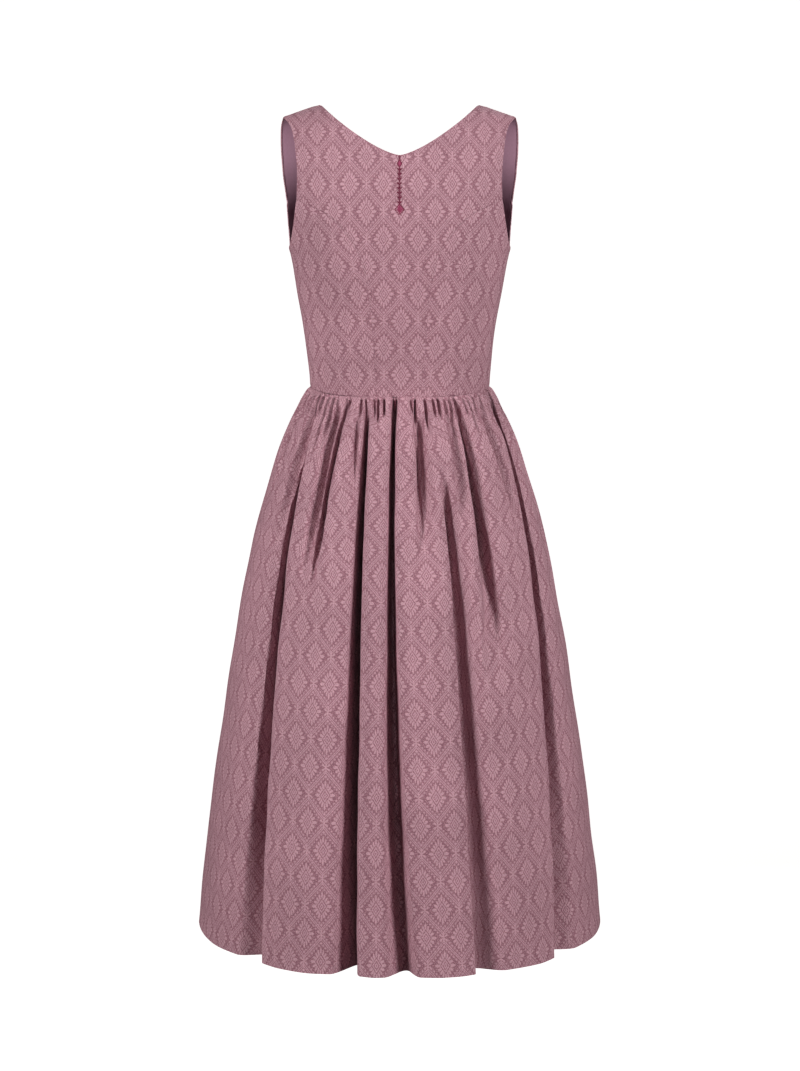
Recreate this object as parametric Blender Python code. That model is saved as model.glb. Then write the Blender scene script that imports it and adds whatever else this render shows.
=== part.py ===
"""A sleeveless dirndl dress, filled out as when worn, with nobody in it.

The dress hangs from the wearer's shoulders, and the origin lies midway between the two
shoulder seams. +Z is up, -Y is the back of the dress and +X is the side seen on the right
from behind. Every piece of cloth is a thin closed wall of its own.
"""

import math

import bmesh
import bpy
from mathutils import Matrix, Vector

# ---------------------------------------------------------------- driving sizes (metres)

COLLECTION = "dirndl"
CLOTH_WALL = 0.0013        # jacquard with its seam turnings
LINING_WALL = 0.0010
SEAM_GAP = 0.0003          # between two pieces that meet face to face
SLANTED_SEAM_GAP = 0.0008  # round the body at the princess seams, which run at a slant
LINING_SETBACK = 0.0022    # how far the lining stays behind a free edge

SIDE_WAIST = -0.3805       # height of the waist seam at the sides
BACK_WAIST_DIP = 0.012
FRONT_WAIST_DIP = 0.016
HEM = -1.1405
SKIRT_LENGTH = SIDE_WAIST - HEM

NECK_POINT_HEIGHT = 0.0082
NECK_POINT_WIDTH = 0.110   # from the centre line to where neckline and shoulder meet
SHOULDER_TIP_WIDTH = 0.161
SHOULDER_SLOPE = 0.32
BACK_NECK_HEIGHT = -0.0616
BACK_NECK_BLUNTNESS = 0.06
FRONT_NECK_HEIGHT = -0.168
FRONT_NECK_SQUARENESS = 5.0
SHOULDER_ARCH_START = -0.115
UNDERARM_HEIGHT = -0.186
ARMHOLE_ROUNDNESS = 2.8
BODY_SQUARENESS = 2.15     # exponent of the oval cross-section, 2 being an ellipse
NORMAL_STEP = 0.002        # radians and metres between the points that give a normal

GATHER_COUNT = 64
GATHER_RELIEF = 0.0042
SEAM_GATHER_RELIEF = 0.0012
GATHER_RISE = 0.016
GATHER_REACH = 0.150
FOLD_GROWTH = 0.100        # length over which a fold reaches its depth
FOLD_DRIFT_POWER = 0.6
FOLD_WIDENING_POWER = 1.2
FADE_START = 0.45          # share of a short fold's length at which it starts to fade
NARROWEST_FOLD = 0.30      # share of a fold's hem width that it has at the waist
SLIMMEST_FOLD = 3.8        # degrees to each side
SHALLOWEST_FOLD = 0.35     # share of a fold's hem depth that it has when it has grown

HOOK_COUNT = 7
HOOK_SIZE = (0.009, 0.0008, 0.005)
HOOK_CLEARANCE = 0.00055

# Looks: linear colour, roughness, metallic value
JACQUARD = ((0.46, 0.26, 0.31), 0.75, 0.0)
LINING = ((0.33, 0.16, 0.24), 0.55, 0.0)
NICKEL = ((0.60, 0.58, 0.55), 0.30, 1.0)
SHARP_ANGLE = math.radians(50)

# ------------------------------------------------------------------- tables of the forms

# Cross-sections of the bodice: height, half width, depth to the back, depth to the front
BODICE_RINGS = (
    (-0.4000, 0.1250, 0.0880, 0.0960),
    (-0.3720, 0.1254, 0.0885, 0.0968),
    (-0.3440, 0.1280, 0.0905, 0.0995),
    (-0.2880, 0.1355, 0.0965, 0.1120),
    (-0.2460, 0.1429, 0.1010, 0.1260),
    (-0.2050, 0.1503, 0.1045, 0.1300),
    (-0.1700, 0.1580, 0.1060, 0.1225),
    (-0.1250, 0.1660, 0.1060, 0.1100),
    (-0.0700, 0.1725, 0.1030, 0.1010),
    (-0.0200, 0.1740, 0.0990, 0.0960),
    (0.0200, 0.1735, 0.0960, 0.0940),
)

# Crests of the skirt's folds: drop below the waist, half width, back and front depth
SKIRT_RINGS = (
    (0.000, 0.1252, 0.0880, 0.0960),
    (0.019, 0.1381, 0.1050, 0.1110),
    (0.047, 0.1530, 0.1240, 0.1290),
    (0.104, 0.1752, 0.1520, 0.1550),
    (0.217, 0.2070, 0.1960, 0.1970),
    (0.361, 0.2344, 0.2330, 0.2320),
    (0.593, 0.2694, 0.2810, 0.2760),
    (0.760, 0.2884, 0.3090, 0.3000),
)

# Princess seams: height, distance from the centre line
BACK_PRINCESS = (
    (-0.3950, 0.0325),
    (-0.3200, 0.0355),
    (-0.2500, 0.0420),
    (-0.2000, 0.0540),
    (-0.1650, 0.0750),
    (-0.1400, 0.1020),
    (-0.1220, 0.1410),
)
FRONT_PRINCESS = (
    (-0.4000, 0.0420),
    (-0.3200, 0.0520),
    (-0.2500, 0.0740),
    (-0.2000, 0.0880),
    (-0.1650, 0.1070),
    (-0.1420, 0.1330),
    (-0.1250, 0.1590),
)

# Armhole edges above the princess seams: height, distance from the centre line
BACK_ARMHOLE = (
    (-0.1220, 0.1410),
    (-0.0950, 0.1400),
    (-0.0740, 0.1406),
    (-0.0540, 0.1425),
    (-0.0350, 0.1455),
    (-0.0190, 0.1510),
    (-0.0082, 0.1610),
)
FRONT_ARMHOLE = (
    (-0.1250, 0.1590),
    (-0.1080, 0.1612),
    (-0.0910, 0.1635),
    (-0.0740, 0.1648),
    (-0.0520, 0.1661),
    (-0.0330, 0.1660),
    (-0.0180, 0.1645),
    (-0.0082, 0.1610),
)

# Large folds, from centre back towards +X: angle at the waist, angle at the hem, drop
# where it starts, drop where it ends, depth, width before and after it (degrees at hem)
FOLDS = (
    (-3.0, 2.0, -0.020, 9.0, 0.060, 9.0, 7.5),
    (10.0, 8.0, -0.010, 0.23, 0.034, 8.0, 8.0),
    (24.0, 17.0, -0.010, 0.15, 0.024, 8.0, 8.0),
    (40.0, 26.5, -0.020, 9.0, 0.062, 8.0, 17.0),
    (53.0, 47.0, -0.010, 0.17, 0.022, 7.0, 9.0),
    (66.0, 56.0, -0.020, 9.0, 0.050, 9.0, 30.0),
    (84.0, 79.0, 0.000, 0.30, 0.020, 8.0, 9.0),
    (102.0, 106.0, 0.010, 9.0, 0.056, 16.0, 13.0),
    (129.0, 131.0, 0.040, 9.0, 0.062, 14.0, 11.0),
    (143.0, 144.0, -0.010, 0.22, 0.030, 8.0, 8.0),
    (157.0, 159.0, -0.020, 9.0, 0.058, 13.0, 10.0),
    (171.0, 171.0, -0.010, 0.18, 0.024, 8.0, 8.0),
    (190.0, 188.5, 0.020, 9.0, 0.066, 8.5, 11.0),
    (201.0, 200.0, -0.010, 0.20, 0.026, 8.0, 8.0),
    (212.0, 212.0, -0.020, 9.0, 0.060, 11.0, 11.0),
    (234.0, 235.0, 0.040, 9.0, 0.064, 11.0, 14.0),
    (261.0, 261.0, 0.010, 9.0, 0.052, 15.0, 16.0),
    (281.0, 285.0, -0.010, 0.12, 0.020, 8.0, 8.0),
    (304.0, 312.0, 0.060, 9.0, 0.068, 26.0, 9.0),
    (320.0, 327.0, -0.010, 0.24, 0.034, 7.0, 7.0),
    (336.0, 343.5, 0.060, 9.0, 0.074, 11.5, 8.5),
)

# Rows and columns of the walls
SEAM_ROWS = (0.0, 0.15, 0.30, 0.44, 0.57, 0.69, 0.79, 0.87, 0.94, 1.0)
STRAP_ROWS = 6
STRAP_COLUMNS = 3
NECK_COLUMNS = 7
NECK_CROWDING = 2.0        # columns stand closer together near the neck point
SIDE_COLUMNS = 6
SKIRT_DROPS = (0.0, 0.02, 0.05, 0.09, 0.14, 0.20, 0.28, 0.38, 0.49, 0.60, 0.69, 0.76)

BACK = -1
FRONT = 1
RIGHT = 1
LEFT = -1
LEVEL_ROWS_TOP = {BACK: BACK_PRINCESS[-1][0], FRONT: -0.185}  # level rows end here

# -------------------------------------------------------------------------- plain maths


def clamp(value):
    return min(1.0, max(0.0, value))


def ease(value):
    value = clamp(value)
    return value * value * (3.0 - 2.0 * value)


def mix(start, end, share):
    return start + (end - start) * share


def look_up(rows, key, column):
    """Reads a column of a table at any key, on a smooth curve through its rows."""
    last = len(rows) - 1
    key = min(max(key, rows[0][0]), rows[last][0])
    low = 0
    while low < last - 1 and key > rows[low + 1][0]:
        low += 1
    before, after = max(low - 1, 0), min(low + 2, last)
    span = rows[low + 1][0] - rows[low][0]
    share = (key - rows[low][0]) / span
    start, end = rows[low][column], rows[low + 1][column]
    start_slope = (end - rows[before][column]) / (rows[low + 1][0] - rows[before][0])
    end_slope = (rows[after][column] - start) / (rows[after][0] - rows[low][0])
    square, cube = share ** 2, share ** 3
    return (start * (2 * cube - 3 * square + 1)
            + start_slope * span * (cube - 2 * square + share)
            + end * (3 * square - 2 * cube)
            + end_slope * span * (cube - square))


def oval(angle, half_width, back_depth, front_depth):
    """A point of an oval ring. Angle 0 is the centre back and 90 degrees the +X side."""
    power = 2.0 / BODY_SQUARENESS
    sine, cosine = math.sin(angle), math.cos(angle)
    depth = back_depth if cosine > 0 else front_depth
    x = math.copysign(abs(sine) ** power, sine) * half_width
    y = -math.copysign(abs(cosine) ** power, cosine) * depth
    return x, y


# --------------------------------------------------------------------- bodice's surface


def waist_height(angle):
    dip = BACK_WAIST_DIP if math.cos(angle) > 0 else FRONT_WAIST_DIP
    return SIDE_WAIST - dip * math.cos(angle) ** 2


def shoulder_height(x):
    return NECK_POINT_HEIGHT - SHOULDER_SLOPE * (abs(x) - NECK_POINT_WIDTH)


def angle_at(x, height, side):
    """The angle from the centre back at which the ring is this far from the centre line."""
    share = clamp(x / look_up(BODICE_RINGS, height, 1))
    turn = math.asin(share ** (BODY_SQUARENESS / 2.0))
    return turn if side == BACK else math.pi - turn


def width_at(angle, height):
    return abs(oval(angle, look_up(BODICE_RINGS, height, 1), 0.0, 0.0)[0])


def climb_at(angle, height):
    """Height as a climb: metres below the arch of the shoulder, or turns round it."""
    if height <= SHOULDER_ARCH_START:
        return height - SHOULDER_ARCH_START
    top = shoulder_height(width_at(angle, height))
    share = (height - SHOULDER_ARCH_START) / (top - SHOULDER_ARCH_START)
    return math.asin(clamp(share))


def bodice_point(angle, climb, side):
    """A point on the outside of the bodice, which closes over the shoulder in an arch."""
    height = SHOULDER_ARCH_START + climb
    lean = 1.0
    if climb > 0:
        guess = oval(angle, look_up(BODICE_RINGS, SHOULDER_ARCH_START, 1), 0.0, 0.0)[0]
        rise = shoulder_height(guess) - SHOULDER_ARCH_START
        height = SHOULDER_ARCH_START + rise * math.sin(climb)
        guess = width_at(angle, height)
        rise = shoulder_height(guess) - SHOULDER_ARCH_START
        height = SHOULDER_ARCH_START + rise * math.sin(climb)
        lean = math.cos(climb)
    ring = [look_up(BODICE_RINGS, height, column) for column in (1, 2, 3)]
    x, y = oval(angle, *ring)
    return Vector((x, y * lean + side * SEAM_GAP / 2, height))


def bodice_normal(angle, climb, side):
    step = NORMAL_STEP
    around = bodice_point(angle + step, climb, side) - bodice_point(angle - step, climb, side)
    upward = bodice_point(angle, climb + step, side) - bodice_point(angle, climb - step, side)
    return around.cross(upward).normalized()


def surface(angle, height, side):
    climb = climb_at(angle, height)
    return bodice_point(angle, climb, side), bodice_normal(angle, climb, side)


# ------------------------------------------------------------------------ bodice's cut


def neckline_height(x, side):
    share = clamp(abs(x) / NECK_POINT_WIDTH)
    if side == FRONT:
        curve = share ** FRONT_NECK_SQUARENESS
        return mix(FRONT_NECK_HEIGHT, NECK_POINT_HEIGHT, curve)
    blunt = BACK_NECK_BLUNTNESS
    curve = (math.hypot(share, blunt) - blunt) / (math.hypot(1.0, blunt) - blunt)
    return mix(BACK_NECK_HEIGHT, NECK_POINT_HEIGHT, curve)


def top_height(x, side):
    if abs(x) > NECK_POINT_WIDTH:
        return shoulder_height(x)
    return neckline_height(x, side)


def seam_and_armhole(side):
    return (BACK_PRINCESS, BACK_ARMHOLE) if side == BACK else (FRONT_PRINCESS, FRONT_ARMHOLE)


def edge_rows(side):
    """The side edge of a centre panel: the princess seam, then the armhole, going up."""
    seam, armhole = seam_and_armhole(side)
    meeting = seam[-1][0]
    start = waist_height(angle_at(seam[0][1], seam[0][0], side))
    tip = armhole[-1][0]
    rows = []
    for share in SEAM_ROWS:
        height = mix(start, meeting, share)
        rows.append((height, look_up(seam, height, 1), True))
    for step in range(1, STRAP_ROWS + 1):
        height = mix(meeting, tip, math.sin(step / STRAP_ROWS * math.pi / 2))
        rows.append((height, look_up(armhole, height, 1), False))
    return rows


def centre_columns():
    """Shares of the way from the centre line to the side edge, with one at the neck point."""
    neck = angle_at(NECK_POINT_WIDTH, NECK_POINT_HEIGHT, BACK)
    tip = angle_at(SHOULDER_TIP_WIDTH, shoulder_height(SHOULDER_TIP_WIDTH), BACK)
    neck_share = neck / tip
    columns = [neck_share * (1.0 - (1.0 - step / NECK_COLUMNS) ** NECK_CROWDING)
               for step in range(NECK_COLUMNS)]
    columns += [mix(neck_share, 1.0, step / STRAP_COLUMNS) for step in range(STRAP_COLUMNS + 1)]
    return columns


def turned(angle, side, hand):
    """A turn away from the centre of this side, as an angle from the centre back."""
    return hand * angle if side == BACK else hand * (math.pi - angle)


def centre_grid(side, hands):
    """Points and normals of a centre panel. Rows go up and columns go round."""
    rows = edge_rows(side)
    shares = centre_columns()
    levels = (rows[0][0], LEVEL_ROWS_TOP[side], rows[-1][0])
    first_edge = angle_at(rows[0][1], rows[0][0], BACK)
    grid = []
    for height, width, is_seam in rows:
        edge = angle_at(width, height, BACK)
        if is_seam:
            edge -= SLANTED_SEAM_GAP / 2 / look_up(BODICE_RINGS, height, 1)
        line = []
        for hand in hands:
            steps = shares if hand == RIGHT else shares[::-1]
            if len(hands) == 2 and hand == RIGHT:
                steps = steps[1:]
            for share in steps:
                turn = share * edge
                if len(hands) == 1:
                    turn = max(turn, SEAM_GAP / 2 / look_up(BODICE_RINGS, height, 1))
                foot = turned(share * first_edge, side, hand)
                bottom = waist_height(foot) + SEAM_GAP / 2
                rise = panel_height(share, height, (bottom, *levels), side)
                line.append(surface(turned(turn, side, hand), rise, side))
        grid.append(line)
    return grid


def panel_height(share, height, levels, side):
    """Height in a centre panel, whose upper rows bend to the neckline and the shoulder."""
    bottom, first, level, tip = levels
    tip_turn = angle_at(SHOULDER_TIP_WIDTH, tip, BACK)
    top = tip if share == 1.0 else top_height(width_at(share * tip_turn, tip), side)
    if height > level:
        return mix(level, top, (height - level) / (tip - level))
    return mix(bottom, level, (height - first) / (level - first))


def underarm_height(turn, meeting_turn, meeting):
    share = clamp((math.pi / 2 - turn) / (math.pi / 2 - meeting_turn))
    return mix(UNDERARM_HEIGHT, meeting, share ** ARMHOLE_ROUNDNESS)


def side_grid(side, hand):
    """Points and normals of a side panel, from its princess seam to the side seam."""
    seam = seam_and_armhole(side)[0]
    rows = [row for row in edge_rows(side) if row[2]]
    first, meeting = rows[0][0], rows[-1][0]
    meeting_turn = angle_at(rows[-1][1], meeting, BACK)
    first_turn = angle_at(rows[0][1], first, BACK)
    grid = []
    for height, width, _ in rows:
        start = angle_at(width, height, BACK)
        start += SLANTED_SEAM_GAP / 2 / look_up(BODICE_RINGS, height, 1)
        climb = (height - first) / (meeting - first)
        line = []
        for column in range(SIDE_COLUMNS + 1):
            share = column / SIDE_COLUMNS
            top_turn = mix(meeting_turn, math.pi / 2, share)
            top = underarm_height(top_turn, meeting_turn, meeting)
            foot = turned(mix(first_turn, math.pi / 2, share), side, hand)
            bottom = waist_height(foot) + SEAM_GAP / 2
            angle = turned(mix(start, math.pi / 2, share), side, hand)
            line.append(surface(angle, mix(bottom, top, climb), side))
        grid.append(line)
    return grid


# -------------------------------------------------------------------------- the skirt


def fold_strength(fold, drop):
    """How deep a fold is at this drop below the waist."""
    start, end, depth = fold[2], fold[3], fold[4]
    grown = ease((drop - start) / FOLD_GROWTH)
    faded = 1.0 - ease((drop / end - FADE_START) / (1.0 - FADE_START))
    return depth * grown * faded * mix(SHALLOWEST_FOLD, 1.0, drop / SKIRT_LENGTH)


def fold_angle(fold, drop):
    share = (drop / SKIRT_LENGTH) ** FOLD_DRIFT_POWER
    return math.radians(mix(fold[0], fold[1], share))


def fold_width(fold, drop):
    growth = mix(NARROWEST_FOLD, 1.0, (drop / SKIRT_LENGTH) ** FOLD_WIDENING_POWER)
    return [math.radians(max(width * growth, SLIMMEST_FOLD)) for width in fold[5:7]]


def fold_depth(angle, drop):
    """How far all the folds draw the cloth in at this place."""
    total = 0.0
    for fold in FOLDS:
        away = (angle - fold_angle(fold, drop) + math.pi) % (2 * math.pi) - math.pi
        before, after = fold_width(fold, drop)
        share = away / (after if away > 0 else before)
        if abs(share) < 1.0:
            total = max(total, fold_strength(fold, drop) * (1.0 - share ** 2) ** 2)
    return total


def gather_relief(drop):
    rising = mix(SEAM_GATHER_RELIEF, GATHER_RELIEF, ease(drop / GATHER_RISE))
    return rising * (1.0 - ease(drop / GATHER_REACH))


def column_angle(waist_angle, drop):
    """Columns lean with the folds on both sides of them, from the waist to the hem."""
    lasting = [fold for fold in FOLDS if fold[3] > SKIRT_LENGTH]
    shifts = [(math.radians(fold[0]), fold_angle(fold, drop) - math.radians(fold[0]))
              for fold in lasting]
    shifts = [(angle - 2 * math.pi, shift) for angle, shift in shifts] + shifts
    shifts += [(angle + 2 * math.pi, shift) for angle, shift in shifts[-len(lasting):]]
    for (low, low_shift), (high, high_shift) in zip(shifts, shifts[1:]):
        if low <= waist_angle <= high:
            share = (waist_angle - low) / (high - low)
            return waist_angle + mix(low_shift, high_shift, share)
    return waist_angle


def skirt_point(angle, drop, relief):
    ring = [look_up(SKIRT_RINGS, drop, column) for column in (1, 2, 3)]
    x, y = oval(angle, *ring)
    radius = math.hypot(x, y)
    drawn_in = (radius - fold_depth(angle, drop) - relief) / radius
    top = waist_height(angle) - SEAM_GAP / 2
    return Vector((x * drawn_in, y * drawn_in, mix(top, HEM, drop / SKIRT_LENGTH)))


def skirt_ring():
    """Points and normals all round the skirt, two columns to each gather."""
    count = GATHER_COUNT * 2
    points = []
    for drop in SKIRT_DROPS:
        line = []
        for column in range(count):
            angle = column_angle(column / count * 2 * math.pi, drop)
            relief = gather_relief(drop) * (column % 2)
            line.append(skirt_point(angle, drop, relief))
        points.append(line)
    return [[(points[row][column], ring_normal(points, row, column))
             for column in range(count)] for row in range(len(points))]


def ring_normal(points, row, column):
    count = len(points[0])
    above, below = points[max(row - 1, 0)], points[min(row + 1, len(points) - 1)]
    around = points[row][(column + 1) % count] - points[row][(column - 1) % count]
    return around.cross(above[column] - below[column]).normalized()


def cut_from_ring(ring, first, last):
    """A panel between two columns of the ring, half a seam gap short at each end."""
    panel = []
    for line in ring:
        cells = [line[column % len(line)] for column in range(first, last + 1)]
        for end, hand in ((0, 1), (-1, -1)):
            point, normal = cells[end]
            along = Vector((0.0, 0.0, 1.0)).cross(normal).normalized()
            cells[end] = (point + along * hand * SEAM_GAP / 2, normal)
        panel.append(cells)
    return panel


# ----------------------------------------------------------------------- cloth walls


def pulled_in(grid, bottom, top, first, last):
    """Draws the chosen edges of a grid back along the grid itself, by the setback."""
    def draw(cell, towards):
        length = (towards[0] - cell[0]).length
        share = LINING_SETBACK / max(length, LINING_SETBACK * 2)
        return cell[0].lerp(towards[0], share), cell[1].lerp(towards[1], share).normalized()

    rows = [list(line) for line in grid]
    if top:
        rows[-1] = [draw(cell, below) for cell, below in zip(rows[-1], rows[-2])]
    if bottom:
        rows[0] = [draw(cell, above) for cell, above in zip(rows[0], rows[1])]
    for index, line in enumerate(rows):
        if first(index):
            line[0] = draw(line[0], line[1])
        if last(index):
            line[-1] = draw(line[-1], line[-2])
    return rows


def cloth_wall(name, grid, depth, thickness, material):
    """A closed wall on a grid of points and normals, starting this far under them.

    Its cells are cut along opposite diagonals on the two sides of the body, which keeps
    the two halves alike and the cuts across the lean of the rows.
    """
    mesh = bmesh.new()
    sheets = []
    for inward in (depth, depth + thickness):
        sheets.append([[mesh.verts.new(point - normal * inward) for point, normal in line]
                       for line in grid])
    outside, inside = sheets
    rows, columns = len(grid) - 1, len(grid[0]) - 1
    for row in range(rows):
        for column in range(columns):
            for sheet in sheets:
                cell = [sheet[row][column], sheet[row][column + 1],
                        sheet[row + 1][column + 1], sheet[row + 1][column]]
                if cell[0].co.x + cell[2].co.x > 0:
                    cell = cell[1:] + cell[:1]
                mesh.faces.new((cell[0], cell[1], cell[2]))
                mesh.faces.new((cell[0], cell[2], cell[3]))
    border = [(row, 0) for row in range(rows)] + [(rows, column) for column in range(columns)]
    border += [(row, columns) for row in range(rows, 0, -1)]
    border += [(0, column) for column in range(columns, 0, -1)]
    for (row, column), (next_row, next_column) in zip(border, border[1:] + border[:1]):
        mesh.faces.new((outside[row][column], outside[next_row][next_column],
                        inside[next_row][next_column], inside[row][column]))
    bmesh.ops.recalc_face_normals(mesh, faces=mesh.faces)
    return add_piece(name, mesh, material)


def add_piece(name, mesh, material):
    data = bpy.data.meshes.new(name)
    mesh.to_mesh(data)
    mesh.free()
    data.materials.append(material)
    data.shade_smooth()
    data.set_sharp_from_angle(angle=SHARP_ANGLE)
    piece = bpy.data.objects.new(name, data)
    bpy.data.collections[COLLECTION].objects.link(piece)
    return piece


def finish(name, look):
    colour, roughness, metallic = look
    material = bpy.data.materials.new(name)
    material.use_nodes = True
    shader = material.node_tree.nodes["Principled BSDF"]
    shader.inputs["Base Color"].default_value = (*colour, 1.0)
    shader.inputs["Roughness"].default_value = roughness
    shader.inputs["Metallic"].default_value = metallic
    return material


# ------------------------------------------------------------------------- the pieces


def make_bodice():
    meeting_row = len(SEAM_ROWS) - 1
    always, never = (lambda row: True), (lambda row: False)
    above_seam = (lambda row: row > meeting_row)
    under_cloth = CLOTH_WALL + SEAM_GAP
    back = centre_grid(BACK, (LEFT, RIGHT))
    bodice_pair("back_centre", back, pulled_in(back, False, True, above_seam, above_seam))
    for side, side_name in ((BACK, "back"), (FRONT, "front")):
        for hand, hand_name in ((LEFT, "left"), (RIGHT, "right")):
            panel = side_grid(side, hand)
            bodice_pair(f"{side_name}_side_{hand_name}", panel,
                        pulled_in(panel, False, True, never, never))
    for hand, hand_name in ((LEFT, "left"), (RIGHT, "right")):
        front = centre_grid(FRONT, (hand,))
        edges = (above_seam, always) if hand == LEFT else (always, above_seam)
        bodice_pair(f"front_centre_{hand_name}", front, pulled_in(front, False, True, *edges))
        if hand == RIGHT:
            make_hooks([line[0] for line in front], under_cloth + LINING_WALL)


def bodice_pair(name, grid, lining_grid):
    """A panel of the bodice and the piece of lining behind it."""
    cloth_wall(name, grid, 0.0, CLOTH_WALL, finish(f"{name}_jacquard", JACQUARD))
    cloth_wall(f"lining_{name}", lining_grid, CLOTH_WALL + SEAM_GAP, LINING_WALL,
               finish(f"{name}_lining", LINING))


def make_hooks(edge, depth):
    """Hooks and eyes, fastened, behind the two edges of the centre front."""
    top = edge[-1][0].z
    start = edge[0][0].z
    for number in range(HOOK_COUNT):
        height = mix(start, top, (number + 0.5) / HOOK_COUNT)
        row = max(index for index in range(len(edge) - 1) if edge[index][0].z <= height)
        low, high = edge[row], edge[row + 1]
        share = (height - low[0].z) / (high[0].z - low[0].z)
        slope = (high[0] - low[0]).normalized()
        outward = Vector((1.0, 0.0, 0.0)).cross(slope) * -1.0
        spot = low[0].lerp(high[0], share)
        spot -= outward * (depth + HOOK_CLEARANCE + HOOK_SIZE[1] / 2)
        spot.x = 0.0
        placed = Matrix((Vector((1.0, 0.0, 0.0)), outward, slope)).transposed().to_4x4()
        mesh = bmesh.new()
        bmesh.ops.create_cube(mesh, size=1.0, matrix=Matrix.Translation(spot) @ placed
                              @ Matrix.Diagonal((*HOOK_SIZE, 1.0)))
        bmesh.ops.recalc_face_normals(mesh, faces=mesh.faces)
        name = f"hook_{number + 1}"
        add_piece(name, mesh, finish(f"{name}_nickel", NICKEL))


def make_skirt():
    ring = skirt_ring()
    quarter = len(ring[0]) // 4
    panels = {"skirt_back": (-quarter, quarter),
              "skirt_front_right": (quarter, 2 * quarter),
              "skirt_front_left": (2 * quarter, 3 * quarter)}
    for name, (first, last) in panels.items():
        cloth_wall(name, cut_from_ring(ring, first, last), 0.0, CLOTH_WALL,
                   finish(f"{name}_jacquard", JACQUARD))


def build():
    for thing in list(bpy.data.objects):
        bpy.data.objects.remove(thing, do_unlink=True)
    collection = bpy.data.collections.new(COLLECTION)
    bpy.context.scene.collection.children.link(collection)
    make_bodice()
    make_skirt()


build()
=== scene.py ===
"""A sleeveless dirndl dress in worn form: fine cloth over its plain solids.

The dress hangs from the shoulders with nobody in it. +Z is up, -Y is its back, which faces
the camera, and +X is the side seen on the right. Angles start at the centre back and grow
towards +X. Each panel is a thin closed wall, cut on the same lines as its solid.
"""

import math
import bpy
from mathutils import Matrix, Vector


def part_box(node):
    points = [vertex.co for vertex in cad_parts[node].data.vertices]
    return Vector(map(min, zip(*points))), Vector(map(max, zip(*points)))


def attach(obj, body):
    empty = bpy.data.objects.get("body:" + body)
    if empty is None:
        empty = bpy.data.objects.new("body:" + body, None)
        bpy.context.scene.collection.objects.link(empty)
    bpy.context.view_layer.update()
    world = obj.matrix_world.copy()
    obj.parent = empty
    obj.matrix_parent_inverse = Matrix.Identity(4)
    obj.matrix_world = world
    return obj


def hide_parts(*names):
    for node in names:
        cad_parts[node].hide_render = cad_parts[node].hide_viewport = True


bl_info = {
    "name": "Dirndl Dress",
    "version": (1, 0, 0),
    "blender": (4, 5, 0),
    "location": "View3D > Sidebar > Dirndl",
    "description": "Jacquard bodice and gathered skirt, lining, embroidery and fastenings",
    "category": "Add Mesh",
}

import bpy
import numpy as np
from mathutils import Vector

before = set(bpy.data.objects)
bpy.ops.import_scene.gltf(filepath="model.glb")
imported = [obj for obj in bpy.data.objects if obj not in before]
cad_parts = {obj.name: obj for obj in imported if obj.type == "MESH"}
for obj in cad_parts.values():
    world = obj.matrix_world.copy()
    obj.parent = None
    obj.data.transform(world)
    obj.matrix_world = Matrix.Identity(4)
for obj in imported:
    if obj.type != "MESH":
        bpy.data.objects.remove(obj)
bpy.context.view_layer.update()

# ------------------------------------------------------------------ the cut, in metres

CLOTH_WALL = 0.0012
LINING_WALL = 0.0008
PANEL_GAP = 0.0001
UNDER_CLOTH = 0.0016       # depth of the lining's outside under the cloth's outside
LINING_SETBACK = 0.0022

SIDE_WAIST = -0.3805
BACK_WAIST_DIP = 0.0080
FRONT_WAIST_DIP = 0.016
HEM = -1.1405
SKIRT_LENGTH = SIDE_WAIST - HEM

NECK_POINT_HEIGHT = 0.0100
NECK_POINT_ROUNDING = 0.0016
NECK_POINT_WIDTH = 0.110
SHOULDER_TIP_WIDTH = 0.161
SHOULDER_SLOPE = 0.357
BACK_NECK_HEIGHT = -0.0616
BACK_NECK_CURVE = 1.42
FRONT_NECK_HEIGHT = -0.168
FRONT_NECK_SQUARENESS = 5.0
SHOULDER_ARCH_START = -0.115
UNDERARM_HEIGHT = -0.186
ARMHOLE_ROUNDNESS = 2.8
BODY_SQUARENESS = 2.15
NORMAL_STEP = 0.002

BACK, FRONT = -1, 1
LEFT, RIGHT = -1, 1

# Cross-sections of the bodice: height, half width, depth to the back, depth to the front
BODICE_RINGS = np.array((
    (-0.4000, 0.1250, 0.0880, 0.0960),
    (-0.3720, 0.1254, 0.0885, 0.0968),
    (-0.3440, 0.1280, 0.0905, 0.0995),
    (-0.2880, 0.1355, 0.0965, 0.1120),
    (-0.2460, 0.1429, 0.1010, 0.1260),
    (-0.2050, 0.1503, 0.1045, 0.1300),
    (-0.1700, 0.1580, 0.1060, 0.1225),
    (-0.1250, 0.1660, 0.1060, 0.1100),
    (-0.0700, 0.1725, 0.1030, 0.1010),
    (-0.0200, 0.1740, 0.0990, 0.0960),
    (0.0200, 0.1735, 0.0960, 0.0940),
))

# Crests of the skirt's folds: drop below the waist, half width, back and front depth
SKIRT_RINGS = np.array((
    (0.000, 0.1252, 0.0880, 0.0960),
    (0.019, 0.1381, 0.1050, 0.1110),
    (0.047, 0.1530, 0.1240, 0.1290),
    (0.104, 0.1752, 0.1520, 0.1550),
    (0.217, 0.2070, 0.1960, 0.1970),
    (0.361, 0.2344, 0.2330, 0.2320),
    (0.593, 0.2694, 0.2810, 0.2760),
    (0.760, 0.2884, 0.3090, 0.3000),
))

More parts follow.
